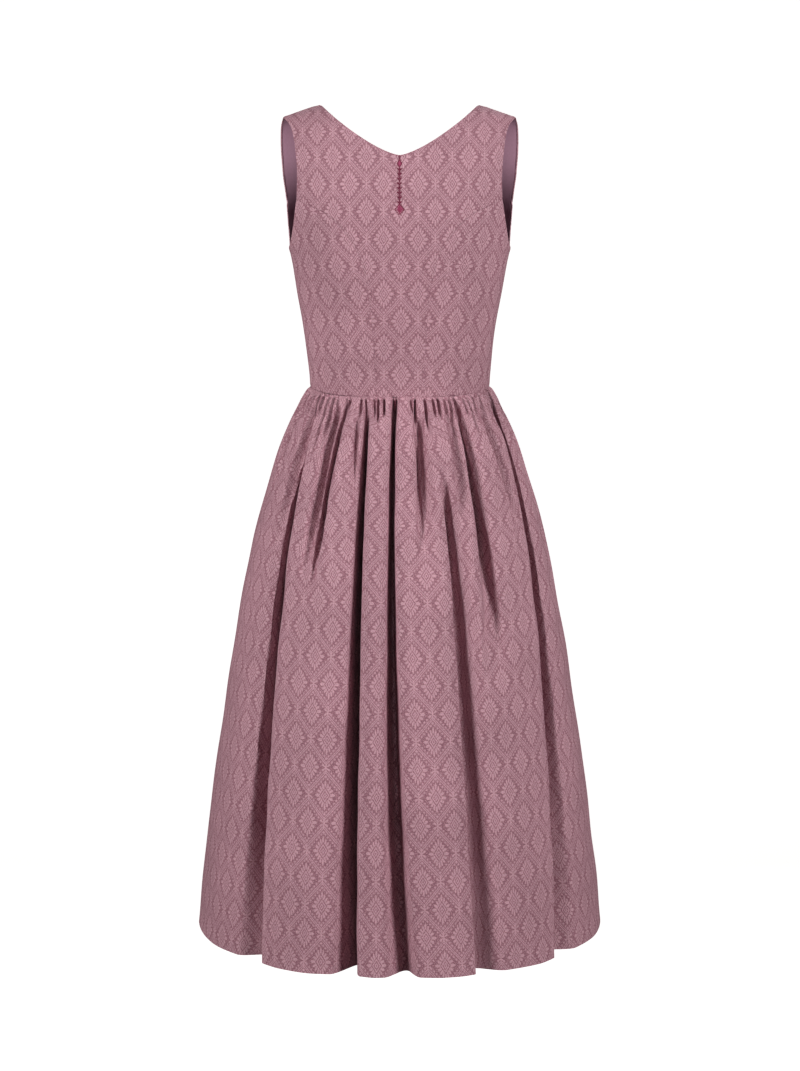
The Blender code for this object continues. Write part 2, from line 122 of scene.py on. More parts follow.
# Princess seams and the armhole edges above them: height, distance from the centre line
PRINCESS = {
    BACK: np.array(((-0.3950, 0.0325), (-0.3200, 0.0355), (-0.2500, 0.0420), (-0.2000, 0.0540),
                    (-0.1650, 0.0750), (-0.1400, 0.1020), (-0.1220, 0.1410))),
    FRONT: np.array(((-0.4000, 0.0420), (-0.3200, 0.0520), (-0.2500, 0.0740), (-0.2000, 0.0880),
                     (-0.1650, 0.1070), (-0.1420, 0.1330), (-0.1250, 0.1590))),
}
ARMHOLE = {
    BACK: np.array(((-0.1220, 0.1410), (-0.0950, 0.1400), (-0.0740, 0.1406), (-0.0540, 0.1425),
                    (-0.0350, 0.1455), (-0.0190, 0.1510), (-0.0082, 0.1610))),
    FRONT: np.array(((-0.1250, 0.1590), (-0.1080, 0.1612), (-0.0910, 0.1635), (-0.0740, 0.1648),
                     (-0.0520, 0.1661), (-0.0330, 0.1660), (-0.0180, 0.1645),
                     (-0.0082, 0.1610))),
}
SIDE_THREAD_LINE = (-0.380, -0.230)    # heights between which a side panel's thread is straight
LEVEL_ROWS_TOP = {BACK: PRINCESS[BACK][-1][0], FRONT: -0.185}

# Large folds, from centre back towards +X: angle at the waist, angle at the hem, how the
# angle drifts with the drop (power), drop where it starts, drop where it ends, depth, share
# of that depth left at the hem, width before and after it (degrees at the hem), share of
# that width that its deep core takes, how far the crest after it (+) or before it (-) hangs
# over it, as a share of the core, and how far it slants as it deepens, per metre of depth
FOLDS = (
    (-2.6, 2.2, 2.2, -0.020, 9.0, 0.066, 0.55, 8.5, 9.0, 0.46, 0.60, 0.0),
    (7.6, 6.6, 0.6, -0.010, 0.23, 0.036, 1.0, 7.0, 10.0, 0.50, -0.80, 0.10),
    (18.0, 19.8, 2.5, 0.080, 9.0, 0.036, 0.85, 6.0, 21.0, 0.42, -0.80, 0.26),
    (34.0, 26.5, 1.2, -0.020, 0.40, 0.042, 1.0, 20.0, 26.0, 0.42, -0.60, 0.55),
    (53.0, 54.0, 0.6, -0.010, 0.17, 0.022, 1.0, 7.0, 9.0, 0.40, 0.0, 0.0),
    (72.0, 47.8, 0.6, -0.020, 9.0, 0.048, 0.75, 10.0, 24.0, 0.42, -0.80, 0.80),
    (84.0, 79.0, 0.6, 0.000, 0.30, 0.020, 1.0, 8.0, 9.0, 0.45, 0.0, 0.0),
    (102.0, 106.0, 0.6, 0.010, 9.0, 0.058, 0.9, 16.0, 9.0, 0.42, 0.80, -0.30),
    (129.0, 131.0, 0.6, 0.040, 9.0, 0.064, 0.9, 9.0, 14.0, 0.42, -0.80, 0.0),
    (143.0, 144.0, 0.6, -0.010, 0.22, 0.030, 1.0, 8.0, 8.0, 0.45, 0.0, 0.0),
    (157.0, 159.0, 0.6, -0.020, 9.0, 0.062, 0.8, 14.0, 9.0, 0.42, 0.80, 0.0),
    (171.0, 171.0, 0.6, -0.010, 0.18, 0.024, 1.0, 8.0, 8.0, 0.45, 0.0, 0.0),
    (190.0, 188.5, 0.6, 0.020, 9.0, 0.068, 0.9, 9.0, 14.0, 0.42, -0.80, 0.0),
    (201.0, 200.0, 0.6, -0.010, 0.20, 0.026, 1.0, 8.0, 8.0, 0.45, 0.0, 0.0),
    (212.0, 212.0, 0.6, -0.020, 9.0, 0.062, 0.8, 14.0, 9.0, 0.42, 0.80, 0.0),
    (234.0, 235.0, 0.6, 0.040, 9.0, 0.066, 0.9, 14.0, 9.0, 0.42, 0.80, 0.0),
    (261.0, 261.0, 0.6, 0.010, 9.0, 0.054, 0.9, 9.0, 16.0, 0.42, -0.80, 0.30),
    (281.0, 285.0, 0.6, -0.010, 0.12, 0.020, 1.0, 8.0, 8.0, 0.45, 0.0, 0.0),
    (303.0, 319.0, 0.5, 0.010, 9.0, 0.078, 0.50, 22.0, 10.0, 0.42, 1.00, -0.85),
    (329.5, 327.5, 0.6, -0.010, 0.28, 0.034, 1.0, 9.0, 6.0, 0.45, 0.80, -0.40),
    (338.0, 349.2, 0.22, 0.000, 9.0, 0.084, 0.70, 15.0, 10.0, 0.46, 1.00, -0.20),
)
FOLD_GROWTH = 0.100
FOLD_WIDENING_POWER = 1.2
FADE_START = 0.45
NARROWEST_FOLD = 0.30
SLIMMEST_FOLD = 3.8
SHALLOWEST_FOLD = 0.62
FOLD_CORE_DEPTH = 0.80     # the rest is the shallow roundness of its shoulders
FOLD_FLATNESS = (4.0, 1.9)   # how boxy the core is at the waist and at the hem
SLANT_LEFT = 0.2           # share of the slant that is left at the hem

# Smaller creases between them: angle at the waist, angle at the end, drop where it
# starts, drop where it ends, depth, width before and after it (degrees)
CREASES = (
    (-36.5, -36.0, 0.004, 0.280, 0.020, 2.6, 3.6),
    (-41.0, -41.0, 0.008, 0.080, 0.009, 2.2, 2.2),
    (-24.5, -17.5, 0.008, 0.190, 0.011, 2.2, 2.6),
    (-16.0, -17.5, 0.008, 0.200, 0.010, 2.0, 2.4),
    (-2.4, -2.0, 0.002, 0.160, 0.018, 2.2, 2.2),
    (9.5, 8.5, 0.003, 0.240, 0.020, 1.8, 5.5),
    (26.5, 25.0, 0.010, 0.230, 0.013, 2.6, 6.0),
    (21.0, 20.5, 0.120, 1.200, 0.012, 1.6, 7.0),
    (37.0, 36.5, 0.004, 0.260, 0.017, 2.4, 2.8),
    (52.0, 53.5, 0.003, 0.220, 0.014, 2.2, 4.0),
    (66.0, 65.0, 0.002, 0.120, 0.010, 2.2, 3.0),
    (-57.0, -54.5, 0.004, 0.240, 0.014, 2.8, 3.0),
    (-71.0, -71.0, 0.004, 0.150, 0.012, 2.4, 2.8),
    (-66.0, -64.0, 0.002, 0.045, 0.007, 1.6, 1.6),
    (-8.5, -8.5, 0.006, 0.045, 0.006, 1.4, 1.4),
    (1.8, 1.8, 0.004, 0.048, 0.006, 1.4, 1.4),
    (98.0, 99.0, 0.004, 0.200, 0.014, 2.4, 3.0),
    (118.0, 117.0, 0.004, 0.260, 0.016, 2.6, 3.2),
    (124.0, 125.0, 0.006, 0.110, 0.010, 2.0, 2.2),
    (136.0, 135.0, 0.004, 0.170, 0.013, 2.2, 2.8),
    (150.0, 151.0, 0.006, 0.230, 0.015, 2.6, 2.6),
    (163.0, 164.0, 0.004, 0.140, 0.012, 2.2, 2.2),
    (178.0, 178.0, 0.006, 0.210, 0.013, 2.4, 3.0),
    (195.0, 194.0, 0.004, 0.120, 0.011, 2.2, 2.2),
    (207.0, 206.5, 0.004, 0.180, 0.014, 2.4, 2.6),
    (222.0, 223.0, 0.006, 0.250, 0.016, 2.6, 3.2),
    (229.0, 228.0, 0.004, 0.100, 0.010, 2.0, 2.0),
    (245.0, 246.0, 0.004, 0.190, 0.013, 2.4, 3.0),
    (254.0, 253.0, 0.006, 0.120, 0.010, 2.0, 2.4),
    (270.0, 271.0, 0.004, 0.210, 0.014, 2.6, 3.0),
)

LASTING_FOLDS = [fold for fold in FOLDS if fold[4] > SKIRT_LENGTH]
CREASE_GROWTH = 0.050
CREASE_FADE_START = 0.4

GATHER_COUNT = 80
GATHER_SEED = 11
GATHER_DEPTH = 0.0125
GATHER_REACH = (0.030, 0.080)    # shortest reach below the seam, and how much is added
GATHER_FADE_START = 0.40
PUFF = 0.0022                    # the cloth swells this far over the seam
# Depths of folds, creases and gathers that take up a like share of the pattern
SWALLOWING = (0.045, 0.010, 0.003)

# Rows and columns of the fine walls
SEAM_STEPS = 64
STRAP_STEPS = 30
NECK_COLUMNS = 44
STRAP_COLUMNS = 16
SIDE_COLUMNS = 44
SKIRT_COLUMNS = 900
SKIRT_ROWS = 105
CROWDING_DROPS = (0.012, 0.100, 0.300, 0.620)    # columns are shared out by lengths there
CROWDING = 0.8
SMOOTH_EDGE_ANGLE = math.radians(60)

# The cloth's surface: how far sewn edges sink and free ones round off, and low wrinkles
SEAM_SINK, SEAM_REACH = 0.0007, 0.0020
TURNING_LIFT, TURNING_MIDDLE, TURNING_REACH = 0.00022, 0.0065, 0.004
EDGE_ROUNDING, EDGE_REACH = 0.0007, 0.0009
ALLOWANCE_LIFT, ALLOWANCE_WIDTH, ALLOWANCE_SLOPE = 0.00028, 0.006, 0.0025
BODICE_WAVES = 0.0007
SKIRT_WAVES = 0.0009
LINING_DRAW = 0.010        # how far behind a free edge the lining is drawn back
HEM_STEP = 0.0015          # height over which the hem's second layer begins
PATTERN_WAIST = 0.392      # metres of pattern above the skirt's seam

# ------------------------------------------------------------------------- plain maths


def ease(value):
    value = np.clip(value, 0.0, 1.0)
    return value * value * (3.0 - 2.0 * value)


def mix(start, end, share):
    return start + (end - start) * share


def look_up(table, key, column):
    """Reads a column of a table at any keys, on a smooth curve through its rows."""
    keys, values = table[:, 0], table[:, column]
    last = len(keys) - 1
    key = np.clip(key, keys[0], keys[last])
    low = np.clip(np.searchsorted(keys, key, side="left") - 1, 0, last - 1)
    before, after = np.maximum(low - 1, 0), np.minimum(low + 2, last)
    span = keys[low + 1] - keys[low]
    share = (key - keys[low]) / span
    start, end = values[low], values[low + 1]
    start_slope = (end - values[before]) / (keys[low + 1] - keys[before])
    end_slope = (values[after] - start) / (keys[after] - keys[low])
    square, cube = share ** 2, share ** 3
    return (start * (2 * cube - 3 * square + 1)
            + start_slope * span * (cube - 2 * square + share)
            + end * (3 * square - 2 * cube)
            + end_slope * span * (cube - square))


def oval(angle, half_width, back_depth, front_depth):
    power = 2.0 / BODY_SQUARENESS
    sine, cosine = np.sin(angle), np.cos(angle)
    depth = np.where(cosine > 0, back_depth, front_depth)
    x = np.sign(sine) * np.abs(sine) ** power * half_width
    y = -np.sign(cosine) * np.abs(cosine) ** power * depth
    return x, y


def unit(vectors):
    length = np.linalg.norm(vectors, axis=-1, keepdims=True)
    return vectors / np.maximum(length, 1e-12)


def grid_normals(points, closed=False):
    """Normals of a grid whose rows go down and whose columns go round towards +angle."""
    if closed:
        around = np.roll(points, -1, axis=1) - np.roll(points, 1, axis=1)
    else:
        around = np.gradient(points, axis=1)
    return unit(np.cross(around, -np.gradient(points, axis=0)))


def running_length(points, axis):
    """Length along a grid's rows or columns, from its first point."""
    steps = np.linalg.norm(np.diff(points, axis=axis), axis=-1)
    start = np.zeros_like(np.take(steps, [0], axis=axis))
    return np.concatenate((start, np.cumsum(steps, axis=axis)), axis=axis)


def srgb(code):
    """Linear colour of an sRGB hex value."""
    channels = [int(code[place:place + 2], 16) / 255.0 for place in (1, 3, 5)]
    return tuple(c / 12.92 if c <= 0.04045 else ((c + 0.055) / 1.055) ** 2.4 for c in channels)


# --------------------------------------------------------------------- bodice's surface


def waist_height(angle):
    dip = np.where(np.cos(angle) > 0, BACK_WAIST_DIP, FRONT_WAIST_DIP)
    return SIDE_WAIST - dip * (1.0 - np.abs(np.sin(angle)) ** 5)


def shoulder_height(x):
    from_point = np.abs(x) - NECK_POINT_WIDTH
    rounding = NECK_POINT_ROUNDING * np.exp(-(from_point / 0.006) ** 2)
    return NECK_POINT_HEIGHT - SHOULDER_SLOPE * from_point - rounding


def angle_at(x, height):
    share = np.clip(x / look_up(BODICE_RINGS, height, 1), 0.0, 1.0)
    return np.arcsin(share ** (BODY_SQUARENESS / 2.0))


def width_at(angle, height):
    return np.abs(oval(angle, look_up(BODICE_RINGS, height, 1), 0.0, 0.0)[0])


def climb_at(angle, height):
    """Height as a climb: metres below the arch of the shoulder, or turns round it."""
    top = shoulder_height(width_at(angle, height))
    share = (height - SHOULDER_ARCH_START) / (top - SHOULDER_ARCH_START)
    turn = np.arcsin(np.clip(share, 0.0, 1.0))
    return np.where(height <= SHOULDER_ARCH_START, height - SHOULDER_ARCH_START, turn)


def bodice_point(angle, climb, side):
    arch = np.maximum(climb, 0.0)
    guess = width_at(angle, SHOULDER_ARCH_START)
    height = SHOULDER_ARCH_START + climb
    for _ in range(2):
        rise = shoulder_height(guess) - SHOULDER_ARCH_START
        arched = SHOULDER_ARCH_START + rise * np.sin(arch)
        guess = width_at(angle, arched)
    height = np.where(climb > 0, arched, height)
    lean = np.where(climb > 0, np.cos(arch), 1.0)
    x, y = oval(angle, *(look_up(BODICE_RINGS, height, column) for column in (1, 2, 3)))
    return np.stack((x, y * lean + side * PANEL_GAP / 2, height + 0.0 * x), axis=-1)


def surface(angle, height, side):
    """Points and outward normals of the bodice at these angles and heights."""
    climb = climb_at(angle, height)
    step = NORMAL_STEP
    around = bodice_point(angle + step, climb, side) - bodice_point(angle - step, climb, side)
    upward = bodice_point(angle, climb + step, side) - bodice_point(angle, climb - step, side)
    return bodice_point(angle, climb, side), unit(np.cross(around, upward))


def neckline_height(x, side):
    share = np.clip(np.abs(x) / NECK_POINT_WIDTH, 0.0, 1.0)
    if side == FRONT:
        top = shoulder_height(NECK_POINT_WIDTH)
        return mix(FRONT_NECK_HEIGHT, top, share ** FRONT_NECK_SQUARENESS)
    return mix(BACK_NECK_HEIGHT, shoulder_height(NECK_POINT_WIDTH), share ** BACK_NECK_CURVE)


def top_height(x, side):
    return np.where(np.abs(x) > NECK_POINT_WIDTH, shoulder_height(x), neckline_height(x, side))


def turned(angle, side, hand):
    return hand * angle if side == BACK else hand * (math.pi - angle)


def edge_rows(side, with_armhole):
    """Heights and widths of a panel's side edge: the princess seam, then the armhole."""
    seam, armhole = PRINCESS[side], ARMHOLE[side]
    start = waist_height(turned(angle_at(seam[0][1], seam[0][0]), side, RIGHT))
    heights = mix(start, seam[-1][0], np.linspace(0.0, 1.0, SEAM_STEPS + 1))
    widths = look_up(seam, heights, 1)
    if with_armhole:
        arc = np.sin(np.linspace(0.0, math.pi / 2, STRAP_STEPS + 1)[1:])
        strap = mix(seam[-1][0], armhole[-1][0], arc)
        heights = np.concatenate((heights, strap))
        widths = np.concatenate((widths, look_up(armhole, strap, 1)))
    return heights, widths


def centre_panel(side, hands):
    """Points and normals of a centre panel. Rows go up and columns go round."""
    heights, widths = edge_rows(side, True)
    neck = angle_at(NECK_POINT_WIDTH, NECK_POINT_HEIGHT)
    tip_height = ARMHOLE[side][-1][0]
    tip = angle_at(SHOULDER_TIP_WIDTH, tip_height)
    inner = neck / tip * (1.0 - (1.0 - np.arange(NECK_COLUMNS) / NECK_COLUMNS) ** 1.4)
    shares = np.concatenate((inner, mix(neck / tip, 1.0, np.linspace(0, 1, STRAP_COLUMNS + 1))))
    edges = angle_at(widths, heights)
    edges[:SEAM_STEPS + 1] -= PANEL_GAP / 2 / look_up(BODICE_RINGS, heights[:SEAM_STEPS + 1], 1)
    first_edge = angle_at(widths[0], heights[0])
    level = LEVEL_ROWS_TOP[side]
    top = top_height(width_at(shares * tip, tip_height), side)
    top[-1] = tip_height
    strips = []
    for hand in hands:
        foot = turned(shares * first_edge, side, hand)
        bottom = waist_height(foot)
        rise = heights[:, None]
        lower = mix(bottom, level, (rise - heights[0]) / (level - heights[0]))
        upper = mix(level, top, (rise - level) / (tip_height - level))
        turn = shares * edges[:, None]
        if len(hands) == 1:
            turn = np.maximum(turn, PANEL_GAP / 2 / 0.1)
        strip = surface(turned(turn, side, hand), np.where(rise > level, upper, lower), side)
        strips.append([part[:, ::-1] if hand == LEFT else part for part in strip])
    if len(strips) == 1:
        return strips[0]
    return [np.concatenate((left, right[:, 1:]), axis=1) for left, right in zip(*strips)]


def side_panel(side, hand):
    """Points and normals of a side panel, from its princess seam to the side seam."""
    heights, widths = edge_rows(side, False)
    meeting = heights[-1]
    starts = angle_at(widths, heights)
    shares = np.linspace(0.0, 1.0, SIDE_COLUMNS + 1)
    top_turn = mix(starts[-1], math.pi / 2, shares)
    remaining = (math.pi / 2 - top_turn) / (math.pi / 2 - starts[-1])
    top = mix(UNDERARM_HEIGHT, meeting, remaining ** ARMHOLE_ROUNDNESS)
    bottom = waist_height(turned(mix(starts[0], math.pi / 2, shares), side, hand))
    climb = ((heights - heights[0]) / (meeting - heights[0]))[:, None]
    starts = starts + PANEL_GAP / 2 / look_up(BODICE_RINGS, heights, 1)
    turn = mix(starts[:, None], math.pi / 2, shares)
    return surface(turned(turn, side, hand), mix(bottom, top, climb), side)


# ------------------------------------------------------------------------- cloth walls


def pressed(points, normals, free):
    """Moves a bodice panel's points for its sewn and its turned edges.

    Sewn edges sink into their seam, between turnings that lift the cloth a little.
    Free edges are folded over and pressed, so they round off.
    """
    across, upward = running_length(points, 1), running_length(points, 0)
    distances = {
        "left": across, "right": across[:, -1:] - across,
        "bottom": upward, "top": upward[-1:] - upward,
    }
    lift = np.zeros(points.shape[:2])
    for edge, distance in distances.items():
        loose = free.get(edge, np.zeros(1, bool))
        loose = loose[None] if edge == "top" else loose[:, None]
        seam = -SEAM_SINK * np.exp(-(distance / SEAM_REACH) ** 2)
        seam += TURNING_LIFT * np.exp(-((distance - TURNING_MIDDLE) / TURNING_REACH) ** 2)
        fold = -EDGE_ROUNDING * np.exp(-(distance / EDGE_REACH) ** 2)
        fold += ALLOWANCE_LIFT * (1.0 - ease((distance - ALLOWANCE_WIDTH) / ALLOWANCE_SLOPE))
        lift += np.where(loose, fold, seam)
    return points + normals * lift[..., None]


def soft_waves(points, amount):
    """Low wrinkles of worn cloth, the same on every run."""
    x, y, z = np.moveaxis(points, -1, 0)
    waves = (np.sin(31 * x + 23 * z + 1.7 * np.sin(19 * z + 3 * x)) * 0.5
             + np.sin(-27 * x + 41 * z + 2.1 * np.sin(26 * x) + 1.3) * 0.35
             + np.sin(63 * z + 17 * y + 1.9 * np.sin(21 * x + 0.7)) * 0.3)
    return waves * amount


def cloth_shell(name, points, normals, uv, depth, wall, materials):
    """A closed thin wall from a grid of points: an outside, an inside and its rims.

    Its outside lies this deep under the points. The wall is one thickness or a grid of them.
    """
    rows, columns = points.shape[:2]
    wall = np.broadcast_to(wall, (rows, columns))
    turn = np.cross(np.gradient(points, axis=1), np.gradient(points, axis=0))
    if np.sum(turn * normals) < 0:
        points, normals, uv, wall = (part[:, ::-1] for part in (points, normals, uv, wall))
    outside = points - normals * depth
    inside = outside - normals * wall[..., None]
    vertices = np.concatenate((outside.reshape(-1, 3), inside.reshape(-1, 3)))
    ids = np.arange(rows * columns).reshape(rows, columns)
    low, high = ids[:-1], ids[1:]
    cells = np.stack((low[:, :-1], low[:, 1:], high[:, 1:], high[:, :-1]), -1).reshape(-1, 4)
    far = cells[:, ::-1] + rows * columns
    border = np.concatenate((ids[0, :-1], ids[:-1, -1], ids[-1, :0:-1], ids[:0:-1, 0]))
    following = np.roll(border, -1)
    rims = np.stack((following, border, border + rows * columns,
                     following + rows * columns), -1)
    faces = np.concatenate((cells, far, rims))
    mesh = bpy.data.meshes.new(name)
    mesh.vertices.add(len(vertices))
    mesh.vertices.foreach_set("co", vertices.astype(np.float32).ravel())
    mesh.loops.add(faces.size)
    mesh.loops.foreach_set("vertex_index", faces.astype(np.int32).ravel())
    mesh.polygons.add(len(faces))
    mesh.polygons.foreach_set("loop_start", np.arange(0, faces.size, 4, dtype=np.int32))
    slots = np.repeat((0, 1, 0), (len(cells), len(far), len(rims))).astype(np.int32)
    for material in materials:
        mesh.materials.append(material)
    mesh.update(calc_edges=True)
    mesh.polygons.foreach_set("material_index", slots if len(materials) > 1 else slots * 0)
    layer = mesh.uv_layers.new(name="cloth")
    both = np.concatenate((uv.reshape(-1, 2), uv.reshape(-1, 2)))
    layer.data.foreach_set("uv", both[faces.ravel()].astype(np.float32).ravel())
    mesh.validate()
    mesh.shade_smooth()
    mesh.set_sharp_from_angle(angle=SMOOTH_EDGE_ANGLE)
    return placed(name, mesh)


def placed(name, data):
    """A new object of a mesh, light or camera, linked to the scene."""
    thing = bpy.data.objects.new(name, data)
    bpy.context.scene.collection.objects.link(thing)
    return thing


def panel_uv(points, thread_column):
    """Metres of cloth across from a column that follows the thread, and metres up.

    Across is level with the ground. Up goes over the arch of the shoulder. On a side panel
    the thread is the straight line through that column's ends of SIDE_THREAD_LINE.
    """
    x, height = points[..., 0], points[..., 2]
    shares = np.linspace(0.0, 1.0, 25)[:, None, None]
    angle = angle_at(np.abs(x), height)
    level_x, level_y = oval(angle * shares, *(look_up(BODICE_RINGS, height, column)
                                              for column in (1, 2, 2)))
    across = np.hypot(np.diff(level_x, axis=0), np.diff(level_y, axis=0)).sum(0) * np.sign(x)
    climb = climb_at(angle, height)
    turn = np.maximum(climb, 0.0) * shares
    rise = (shoulder_height(x) - SHOULDER_ARCH_START) * np.diff(np.sin(turn), axis=0)
    run = level_y[-1] * np.diff(np.cos(turn), axis=0)
    up = SHOULDER_ARCH_START + np.where(climb > 0, np.hypot(rise, run).sum(0), climb)
    line = across[:, thread_column]
    if np.ptp(line) > 0.001:
        height = up[:, thread_column]
        low, high = (np.interp(level, height, line) for level in SIDE_THREAD_LINE)
        slope = (high - low) / np.ptp(SIDE_THREAD_LINE)
        return np.stack((across - low - slope * (up - SIDE_THREAD_LINE[0]), up), -1)
    return np.stack((across - line[:, None], up), -1)


# --------------------------------------------------------------------------- the skirt


def fold_path(fold, drop):
    """Angle and strength of a fold at these drops below the waist."""
    start_angle, end_angle, drift, start, end, depth, left_at_hem = fold[:7]
    share = drop / SKIRT_LENGTH
    depth = depth * mix(1.0, left_at_hem, share ** 2)
    angle = np.radians(mix(start_angle, end_angle, share ** drift))
    grown = ease((drop - start) / FOLD_GROWTH)
    faded = 1.0 - ease((drop / end - FADE_START) / (1.0 - FADE_START))
    return angle, depth * grown * faded * mix(SHALLOWEST_FOLD, 1.0, share)


def away_from(angle, centre):
    """Angle from the centre, between half a turn back and half a turn on."""
    return (angle - centre + math.pi) % (2 * math.pi) - math.pi


def column_angles(waist_angles, drop):
    """Columns lean with the folds on both sides of them, from the waist to the hem."""
    starts = np.radians([fold[0] for fold in LASTING_FOLDS])
    shifts = np.array([fold_path(fold, drop[:, 0])[0] for fold in LASTING_FOLDS]).T - starts
    starts = np.concatenate((starts[-2:] - 2 * math.pi, starts, starts[:2] + 2 * math.pi))
    shifts = np.concatenate((shifts[:, -2:], shifts, shifts[:, :2]), axis=1)
    return waist_angles + np.array([np.interp(waist_angles, starts, row) for row in shifts])


def trough(share, flatness=2.0):
    """Cross-section of a fold: 1 in its middle, and 0 from a share of 1 outwards."""
    return np.maximum(1.0 - np.abs(share) ** flatness, 0.0) ** 2


def large_folds(angle, drop, radius):
    """Depth of the large folds, and how far the cloth shifts sideways over and in them."""
    depth, sway = np.zeros(angle.shape), np.zeros(angle.shape)
    fallen = drop / SKIRT_LENGTH
    growth = mix(NARROWEST_FOLD, 1.0, fallen ** FOLD_WIDENING_POWER)
    for fold in FOLDS:
        core, hanging, slant = fold[9:]
        centre, strength = fold_path(fold, drop)
        away = away_from(angle, centre)
        before, after = (np.radians(np.maximum(width * growth, SLIMMEST_FOLD))
                         for width in fold[7:9])
        width = np.where(away > 0, after, before)
        share = away / width
        deep = FOLD_CORE_DEPTH * trough(share / core, mix(*FOLD_FLATNESS, fallen))
        depth += (strength * ((1.0 - FOLD_CORE_DEPTH) * trough(share) + deep)) ** 4
        flank = np.maximum(share * np.sign(hanging) / core, 0.0)
        overhang = hanging * core * width * radius * strength / fold[5]
        sway -= overhang * (flank * np.exp(1.0 - flank)) ** 2
        sway += slant * mix(1.0, SLANT_LEFT, fallen ** 2) * strength * deep
    return depth ** 0.25, sway


def small_creases(angle, drop):
    """Depth of the creases between the large folds."""
    depth = np.zeros(angle.shape)
    for start_angle, end_angle, start, end, amount, before, after in CREASES:
        centre = np.radians(mix(start_angle, end_angle, np.clip(drop / end, 0, 1) ** 0.6))
        away = away_from(angle, centre)
        share = away / np.radians(np.where(away > 0, after, before))
        faded = ease((drop / end - CREASE_FADE_START) / (1.0 - CREASE_FADE_START))
        strength = amount * ease((drop - start) / CREASE_GROWTH) * (1.0 - faded)
        depth += (strength * trough(share)) ** 3
    return depth ** (1 / 3)


def gathers(waist_angles, drop):
    """The fine gathers at the waist seam, which run out one after another."""
    random = np.random.default_rng(GATHER_SEED)
    depth = np.zeros((len(drop), len(waist_angles)))
    spacing = 2 * math.pi / GATHER_COUNT
    for number in range(GATHER_COUNT):
        centre = (number + random.uniform(-0.30, 0.30)) * spacing
        reach = GATHER_REACH[0] + GATHER_REACH[1] * random.random() ** 2
        strength = GATHER_DEPTH * random.uniform(0.55, 1.3)
        width = spacing * random.uniform(0.24, 0.38)
        drift = random.uniform(-0.35, 0.35) * spacing
        share = away_from(waist_angles, centre + drift * drop / 0.05) / width
        kernel = np.maximum(1.0 - np.abs(share) ** 1.5, 0.0) ** 1.7
        rising = mix(0.12, 1.0, ease((drop - 0.0015) / 0.006))
        fading = 1.0 - ease((drop / reach - GATHER_FADE_START) / (1.0 - GATHER_FADE_START))
        depth = np.maximum(depth, strength * rising * fading * kernel)
    return depth


def skirt_drops():
    even = np.linspace(0.0, 1.0, SKIRT_ROWS)
    return (SKIRT_LENGTH * mix(even, even ** 1.6, 0.88))[:, None]


def skirt_points(waist_angles, drop, settings):
    """Points of the skirt, and how much of its cloth is hidden in folds at each of them."""
    angle = column_angles(waist_angles, drop)
    x, y = oval(angle, *(look_up(SKIRT_RINGS, drop, column) for column in (1, 2, 3)))
    radius = np.hypot(x, y)
    folds, sway = large_folds(angle, drop, radius)
    creases = small_creases(angle, drop)
    fine = gathers(waist_angles, drop) * settings.gather_depth
    puff = PUFF * ease(drop / 0.004) * (1.0 - ease((drop - 0.006) / 0.030))
    inward = (folds ** 3 + creases ** 3) ** (1 / 3) + fine - puff
    share = (radius - inward) / radius
    sway = sway * settings.crest_lean
    x, y = x * share + np.cos(angle) * sway, y * share + np.sin(angle) * sway
    height = mix(waist_height(angle), HEM, drop / SKIRT_LENGTH)
    hidden = sum((depth / scale) ** 2 for depth, scale in zip((folds, creases, fine), SWALLOWING))
    return np.stack((x, y, height), axis=-1), hidden


def waist_columns(settings):
    """Angles of the skirt's columns at the waist, closer together where the cloth folds."""
    fine = np.linspace(0.0, math.pi / 2, 2001)
    columns = []
    for quarter in range(4):
        angle = fine + quarter * math.pi / 2
        points, _ = skirt_points(angle, np.array(CROWDING_DROPS)[:, None], settings)
        length = running_length(points, 1)
        length = (length / length[:, -1:]).mean(0)
        count = mix(fine / fine[-1], length, CROWDING)
        wanted = np.arange(SKIRT_COLUMNS // 4) / (SKIRT_COLUMNS // 4)
        columns.append(np.interp(wanted, count, angle))
    return np.concatenate(columns)


def skirt_sheet(settings):
    """Points and cloth coordinates all round the skirt, rows going down."""
    waist_angles = waist_columns(settings)
    points, hidden = skirt_points(waist_angles, skirt_drops(), settings)
    normals = grid_normals(points, closed=True)
    points = points + normals * soft_waves(points, SKIRT_WAVES)[..., None]
    return points, cloth_coordinates(points, hidden, waist_angles)


def cloth_coordinates(points, hidden, waist_angles):
    """Metres of cloth round and down. What the folds swallow is taken up inside them.

    The crests between lasting folds keep to one thread each from the waist to the hem.
    """
    steps = np.linalg.norm(np.roll(points, -1, axis=1) - points, axis=-1)
    lasting = np.sort([fold[0] % 360 for fold in LASTING_FOLDS])
    following = np.roll(lasting, -1)
    crests = np.radians((lasting + following + np.where(following < lasting, 360, 0)) / 2)
    marks = sorted({int(np.argmin(np.abs(away_from(waist_angles, crest)))) for crest in crests})
    across = np.zeros((len(points), SKIRT_COLUMNS))
    laid = 0.0
    for mark, following in zip(marks, marks[1:] + [marks[0] + SKIRT_COLUMNS]):
        columns = np.arange(mark, following) % SKIRT_COLUMNS
        length = np.cumsum(steps[:, columns], axis=1)
        weight = np.cumsum(hidden[:, columns] + 0.01, axis=1)
        full = length[:, -1].max()
        spare = full - length[:, -1:]
        run = np.concatenate((0 * spare, length + spare * weight / weight[:, -1:]), axis=1)
        for offset in range(following - mark + 1):
            across[:, (mark + offset) % SKIRT_COLUMNS] = laid + run[:, offset]
        laid += full
    return across, marks, laid


# -------------------------------------------------------------------------- materials

MATH = "ShaderNodeMath"
RAMP = "ShaderNodeMapRange"

